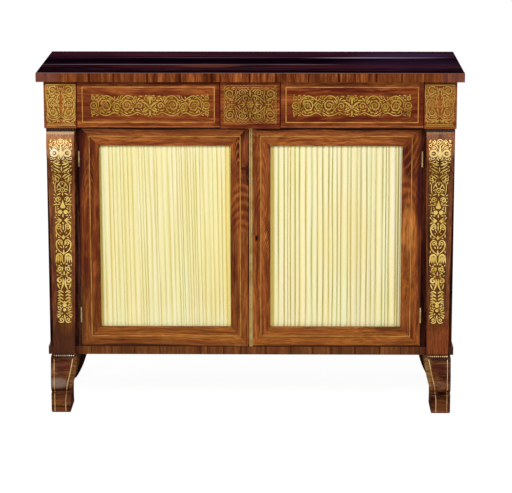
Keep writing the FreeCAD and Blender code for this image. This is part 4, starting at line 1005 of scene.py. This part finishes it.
FRIEZE_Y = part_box("frieze_tablet")[0].y
DRAWER_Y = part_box("left_drawer_front")[0].y
FOOT_INNER = ((8, 500), (36, 500), (62, 497), (80, 494.5), (99, 489.7), (125, 484),
              (152, 479))  # Heights, and how far out the inner line lies there.
FOOT_OUTER = 529.5
FOOT_LINE = 1.7
DRAWER_ART = drawer_ornament()
BLOCK_ART = block_ornament()
CONSOLE_ART = console_ornament()
inlay("tablet_inlay", "carcass", tablet_ornament(), (0, 846.5), level(FRIEZE_Y),
      BRASS_SHADED)
for side, sign in SIDES:
    inlay(f"{side}_drawer_inlay", f"{side}_drawer", DRAWER_ART, (sign * 265 + 2, 843),
          level(DRAWER_Y), BRASS)
    inlay(f"{side}_block_inlay", "carcass", BLOCK_ART, (sign * 497.2, 844.6),
          level(FRIEZE_Y), (BRASS_LIGHT, BRASS_TAN)[sign > 0])
    inlay(f"{side}_console_inlay", "carcass", CONSOLE_ART, (sign * 499.5, 0),
          surface_of(f"{side}_console"), BRASS_BRIGHT, 0.25, range(646, 770, 4))
    heights = np.linspace(150, 4, 74)
    inner = np.interp(heights, *np.array(FOOT_INNER).T)
    lines = ribbon([(sign * x, z) for x, z in zip(inner, heights)], [FOOT_LINE])
    lines += ribbon([(sign * FOOT_OUTER, z) for z in heights], [FOOT_LINE])
    inlay(f"{side}_foot_inlay", "carcass", lines, (0, 0),
          surface_of(f"front_{side}_foot"), BRASS_FOOT, 0.2)


# Beads ------------------------------------------------------------------------------

CASE_FACE = -145  # Y of the fronts that the bead rows stand on.
BEAD_BAND = (0.8, 7.2)  # The beads' heights, between two fillets.
BEAD_HEIGHT = 8
BEAD_FILL = 0.97  # A bead's share of its pitch, which leaves it clear of the next.
LET_OUT = 0.02  # The share of a bead by which a row's beads are let out.


def box_faces(points, faces, low, high):
    """Add a box to the points and faces."""
    base = len(points)
    points += [(x, y, z) for x in (low[0], high[0]) for y in (low[1], high[1])
               for z in (low[2], high[2])]
    faces += [[base + c for c in face] for face in (
        (0, 1, 3, 2), (4, 6, 7, 5), (0, 4, 5, 1), (2, 3, 7, 6), (0, 2, 6, 4), (1, 5, 7, 3))]


def ball(points, faces, centre, radius, around=16, rings=8):
    """Add a ball to the points and faces."""
    base = len(points)
    cx, cy, cz = centre
    points.append((cx, cy, cz - radius))
    for row in range(1, rings):
        tilt = math.pi * row / rings
        for step in range(around):
            turn = 2 * math.pi * step / around
            points.append((cx + radius * math.sin(tilt) * math.cos(turn),
                           cy + radius * math.sin(tilt) * math.sin(turn),
                           cz - radius * math.cos(tilt)))
    points.append((cx, cy, cz + radius))
    last = len(points) - 1
    for step in range(around):
        following = (step + 1) % around
        faces.append([base, base + 1 + following, base + 1 + step])
        for row in range(rings - 2):
            a = base + 1 + row * around
            faces.append([a + step, a + following, a + around + following,
                          a + around + step])
        a = base + 1 + (rings - 2) * around
        faces.append([a + step, a + following, last])


def bead_row(name, middle, width, depth, base, count, material):
    """Fillets with a row of beads between them, along the front and both returns."""
    radius = (width / (count - LET_OUT)) / 2 * BEAD_FILL
    pitch = (width - 2 * radius) / (count - 1)
    half, face, mid = width / 2, CASE_FACE - depth, base + BEAD_HEIGHT / 2
    beads, bead_faces = [], []
    places = [(-half + radius + pitch * k, face + radius) for k in range(count)]
    for k in range(1, int((depth - radius) / pitch) + 1):
        places += [(s * (half - radius), face + radius + pitch * k) for s in (-1, 1)]
    for x, y in places:
        ball(beads, bead_faces, ((middle + x) * MM, y * MM, mid * MM), radius * MM)
    row = piece(name, beads, bead_faces, material, "carcass")
    fillets, fillet_faces = [], []
    for low, high, inset in ((0, BEAD_BAND[0], 0.5), (*BEAD_BAND, radius),
                             (BEAD_BAND[1], BEAD_HEIGHT, 0.5)):
        box_faces(fillets, fillet_faces,
                  ((middle - half + inset) * MM, (face + inset) * MM, (base + low) * MM),
                  ((middle + half - inset) * MM, CASE_FACE * MM, (base + high) * MM))
    backing = piece(name + "_fillets", fillets, fillet_faces, DARK_BEAD, "carcass",
                    smooth=False)
    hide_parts("bead_mouldings")
    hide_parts("bead_mouldings")


DARK_BEAD = wood("bead_ebony", "z", EBONY, 80, gloss=0.25, specular=0.36)
for side, sign in SIDES:
    bead_row(f"{side}_head_beads", sign * 501, 75, 41, 774, 11, DARK_BEAD)
    bead_row(f"{side}_foot_beads", sign * 502.5, 56, 33, 155, 10, GILT)


# Silk -------------------------------------------------------------------------------

SILK_MIDDLE = sum(corner.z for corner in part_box("left_door_silk")) / 2
SWAY = 1.2  # How far a valley wanders sideways, in mm.
PINCH = 0.045  # The share of the height, at each end, where the pleats are drawn in.
LEAST_DEPTH = 2.4  # Of a pleat, in mm.
SILK_BACK = 0.3  # From the valleys to the back of the CAD's silk, in mm.
FOLD_SHADE_END = -0.1342  # Y where the painted shade down a fold is full. It starts at the crest.
VALLEY_SHADE_ENDS = (-0.1362, -0.1336)  # Y where a valley's painted shade starts and is full.


def silk_material(side, valley, crest, pale, fold, marks):
    """Slubbed silk, with yellower painted shade down its folds and in the valleys between
    them.
    """
    shade = Shade(f"{side}_silk", 0.3, Roughness=0.5,
                  **{"Sheen Weight": 0.2, "Sheen Roughness": 0.4})
    place = shade.place
    _, depth, height = shade.axes(place)
    slub = shade.noise(place, (420, 420, 6), 3.0)
    weave = shade.noise(place, (3800, 3800, 3800), 1.0)
    wash = shade.noise(place, (14, 14, 3), 3.0)
    colour = shade.fade(srgb(*pale), srgb(228, 219, 162), wash, 0.35, 0.7)
    tint = shade.noise(place, (52, 0, 1.6), 2.0)
    colour = shade.fade(colour, srgb(222, 224, 168), tint, 0.5, 0.62, 0, 0.6)
    colour = shade.fade(colour, srgb(234, 220, 160), tint, 0.5, 0.38, 0, 0.6)
    colour = shade.fade(colour, srgb(214, 202, 128), slub, 0.55, 0.75, 0, 0.4)
    folds = shade.noise(place, (95, 0, 2.5), 1.0)
    strength = shade.times(shade.span(folds, 0.38, 0.6, 0.35, 1.0), shade.span(
        shade.math("ABSOLUTE", shade.math("SUBTRACT", height, SILK_MIDDLE)),
        0.17, 0.26, 1.0, 0.45))
    # Painted shade down the sides of the folds, and more in the valleys.
    fold_shading = shade.times(shade.span(depth, crest, FOLD_SHADE_END), strength)
    colour = shade.mix(fold_shading, colour, srgb(*fold))
    low = shade.times(shade.span(depth, *VALLEY_SHADE_ENDS, 0.0, valley), strength)
    colour = shade.mix(low, colour, srgb(168, 156, 72))
    colour = tinted(shade, place, colour, marks)
    return shade.finished(colour, shade.math("ADD", weave, slub), 0.00005)


def ripple(chance, reach):
    """A smooth seeded wander along a 0-1 share, of a given reach."""
    waves = [(chance.uniform(0.6, 3.2), chance.uniform(0, 6.3), chance.uniform(0.3, 1))
             for _ in range(3)]
    return lambda t: reach * sum(w * math.sin(f * 3.1 * t + p) for f, p, w in waves) / 2


def silk(side, count, drift, uneven, seed, full, *looks):
    """Gathered silk: rounded pleats that meet in narrow valleys, pinched at the ends."""
    chance = random.Random(seed)
    low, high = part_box(f"{side}_door_silk")
    width, height = high.x - low.x, high.z - low.z
    shares = [1 + chance.uniform(-uneven, uneven) for _ in range(count)]
    places = np.concatenate([[0], np.cumsum(shares)]) / sum(shares)
    sways = [ripple(chance, SWAY * MM) for _ in range(count + 1)]
    fullness = [ripple(chance, 0.16) for _ in range(count)]
    lean = [chance.uniform(0.08, 0.30) * chance.choice((1, 1, -1)) for _ in range(count)]
    rows, steps = 44, 12
    grid = []
    for row in range(rows + 1):
        v = row / rows
        pinch = min(1.0, min(v, 1 - v) / PINCH)
        line = []
        for fold in range(count):
            ends = []
            for edge in (fold, fold + 1):
                inside = math.sin(math.pi * places[edge]) ** 0.5
                slide = (drift * (0.5 - v) + sways[edge](v)) * inside
                ends.append(low.x + places[edge] * width + slide)
            pitch = ends[1] - ends[0]
            rim = min(1.0, 0.35 + min(fold, count - 1 - fold) / 2)
            depth = (LEAST_DEPTH + full * pinch * rim * (1 + fullness[fold](v))) * MM
            for step in range(steps + (fold == count - 1)):
                t = step / steps
                swell = math.sin(math.pi * t) ** 0.62
                x = ends[0] + pitch * (t + lean[fold] * math.sin(math.pi * t) ** 2 * pinch)
                y = high.y - SILK_BACK * MM - depth * swell
                line.append((x, y, low.z + v * height))
        grid.append(line)
    across = len(grid[0])
    faces = [[r * across + c, r * across + c + 1, (r + 1) * across + c + 1,
              (r + 1) * across + c] for r in range(rows) for c in range(across - 1)]
    made = piece(f"{side}_silk", [p for line in grid for p in line], faces,
                 silk_material(side, *looks), f"{side}_door")
    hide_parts(f"{side}_door_silk")


# Painted shade along the silks' edges under the frames; the right silk also has a faint tint
# at its middle.
LEFT_SILK_EDGE_SHADE = upright(
    (-404, 480, 8.5, 500, (182, 160, 66), 0.85),
    (-58, 480, 14, 400, (224, 202, 108), 0.7))
RIGHT_SILK_TINT_AND_SHADE = upright(
    (250, 480, 80, 130, (222, 202, 128), 0.3),
    (54, 480, 11, 500, (196, 172, 76), 0.85),
    (0, 733, 0, 4, (206, 188, 106), 0.6),
    (0, 227, 0, 4, (206, 188, 106), 0.6),
    (394, 480, 2.5, 500, (140, 120, 40), 0.9))
silk("left", 36, 0.012, 0.5, 11, 1.2,
     0.3, -0.1392, (230, 224, 191), (216, 202, 128), LEFT_SILK_EDGE_SHADE)
silk("right", 28, 0.001, 0.44, 12, 2.5,
     1.0, -0.1374, (226, 219, 188), (196, 180, 96), RIGHT_SILK_TINT_AND_SHADE)


# Stage ------------------------------------------------------------------------------

def floor():
    """A pale floor that stays white where nothing shades it."""
    shade = Shade("floor", 0.0, Roughness=0.9, **{"Base Color": (0.82, 0.82, 0.82, 1)})
    glow = shade.add("Emission", {}, {"Color": (1, 1, 1, 1), "Strength": 1.16})
    blend = shade.add("MixShader", {}, {0: shade.times(shade.seen(), 0.8),
                                        1: shade.shader.outputs[0], 2: glow.outputs[0]})
    shade.tree.links.new(blend.outputs[0], shade.out.inputs["Surface"])
    reach = 30
    mesh = bpy.data.meshes.new("floor")
    mesh.from_pydata([(-reach, -reach, 0), (reach, -reach, 0), (reach, reach, 0),
                      (-reach, reach, 0)], [], [(0, 1, 2, 3)])
    mesh.materials.append(shade.material)
    linked("floor", mesh)


def room():
    """An even pale room, white where it is looked at."""
    world = bpy.data.worlds.new("room")
    world.use_nodes = True
    bpy.context.scene.world = world
    graph = Graph(world.node_tree)
    back = world.node_tree.nodes["Background"]
    back.inputs["Color"].default_value = (1, 1, 1, 1)
    strength = graph.span(graph.seen(), 0.0, 1.0, 0.5, 1.0)
    graph.tree.links.new(strength, back.inputs["Strength"])


def lamp(name, place, aim, size, power):
    """A white rectangular lamp at a place, turned to an aim."""
    data = bpy.data.lights.new(name, "AREA")
    data.shape = "RECTANGLE"
    data.size, data.size_y = size
    data.energy = power
    made = linked(name, data)
    made.location = place
    made.rotation_euler = (Vector(aim) - Vector(place)).to_track_quat("-Z", "Y").to_euler()


def camera():
    """The photograph's view: its place, direction and lens."""
    data = bpy.data.cameras.new("camera")
    data.sensor_width = 36.0
    data.lens = 155.95
    data.shift_y = -0.08
    made = linked("camera", data)
    place = Vector((0.092, -5.937, 1.767))
    tilt, yaw, roll = (math.radians(a) for a in (11.71, 0.766, -0.055))
    turn = Matrix.Rotation(yaw, 3, "Z")
    ahead = turn @ Vector((0, math.cos(tilt), -math.sin(tilt)))
    right, up = turn @ Vector((1, 0, 0)), turn @ Vector((0, math.sin(tilt), math.cos(tilt)))
    right, up = (math.cos(roll) * right + math.sin(roll) * up,
                 math.cos(roll) * up - math.sin(roll) * right)
    looking = Matrix((right, up, -ahead)).transposed().to_4x4()
    made.matrix_world = Matrix.Translation(place) @ looking
    bpy.context.scene.camera = made


floor()
room()
lamp("key", (-0.1, -3.3, 2.6), (0, -0.2, 0.5), (2.4, 1.2), 94)
lamp("side", (-2.6, -2.6, 2.2), (0, 0, 0.5), (1.2, 1.6), 26)
camera()
bpy.context.scene.view_settings.view_transform = "Standard"
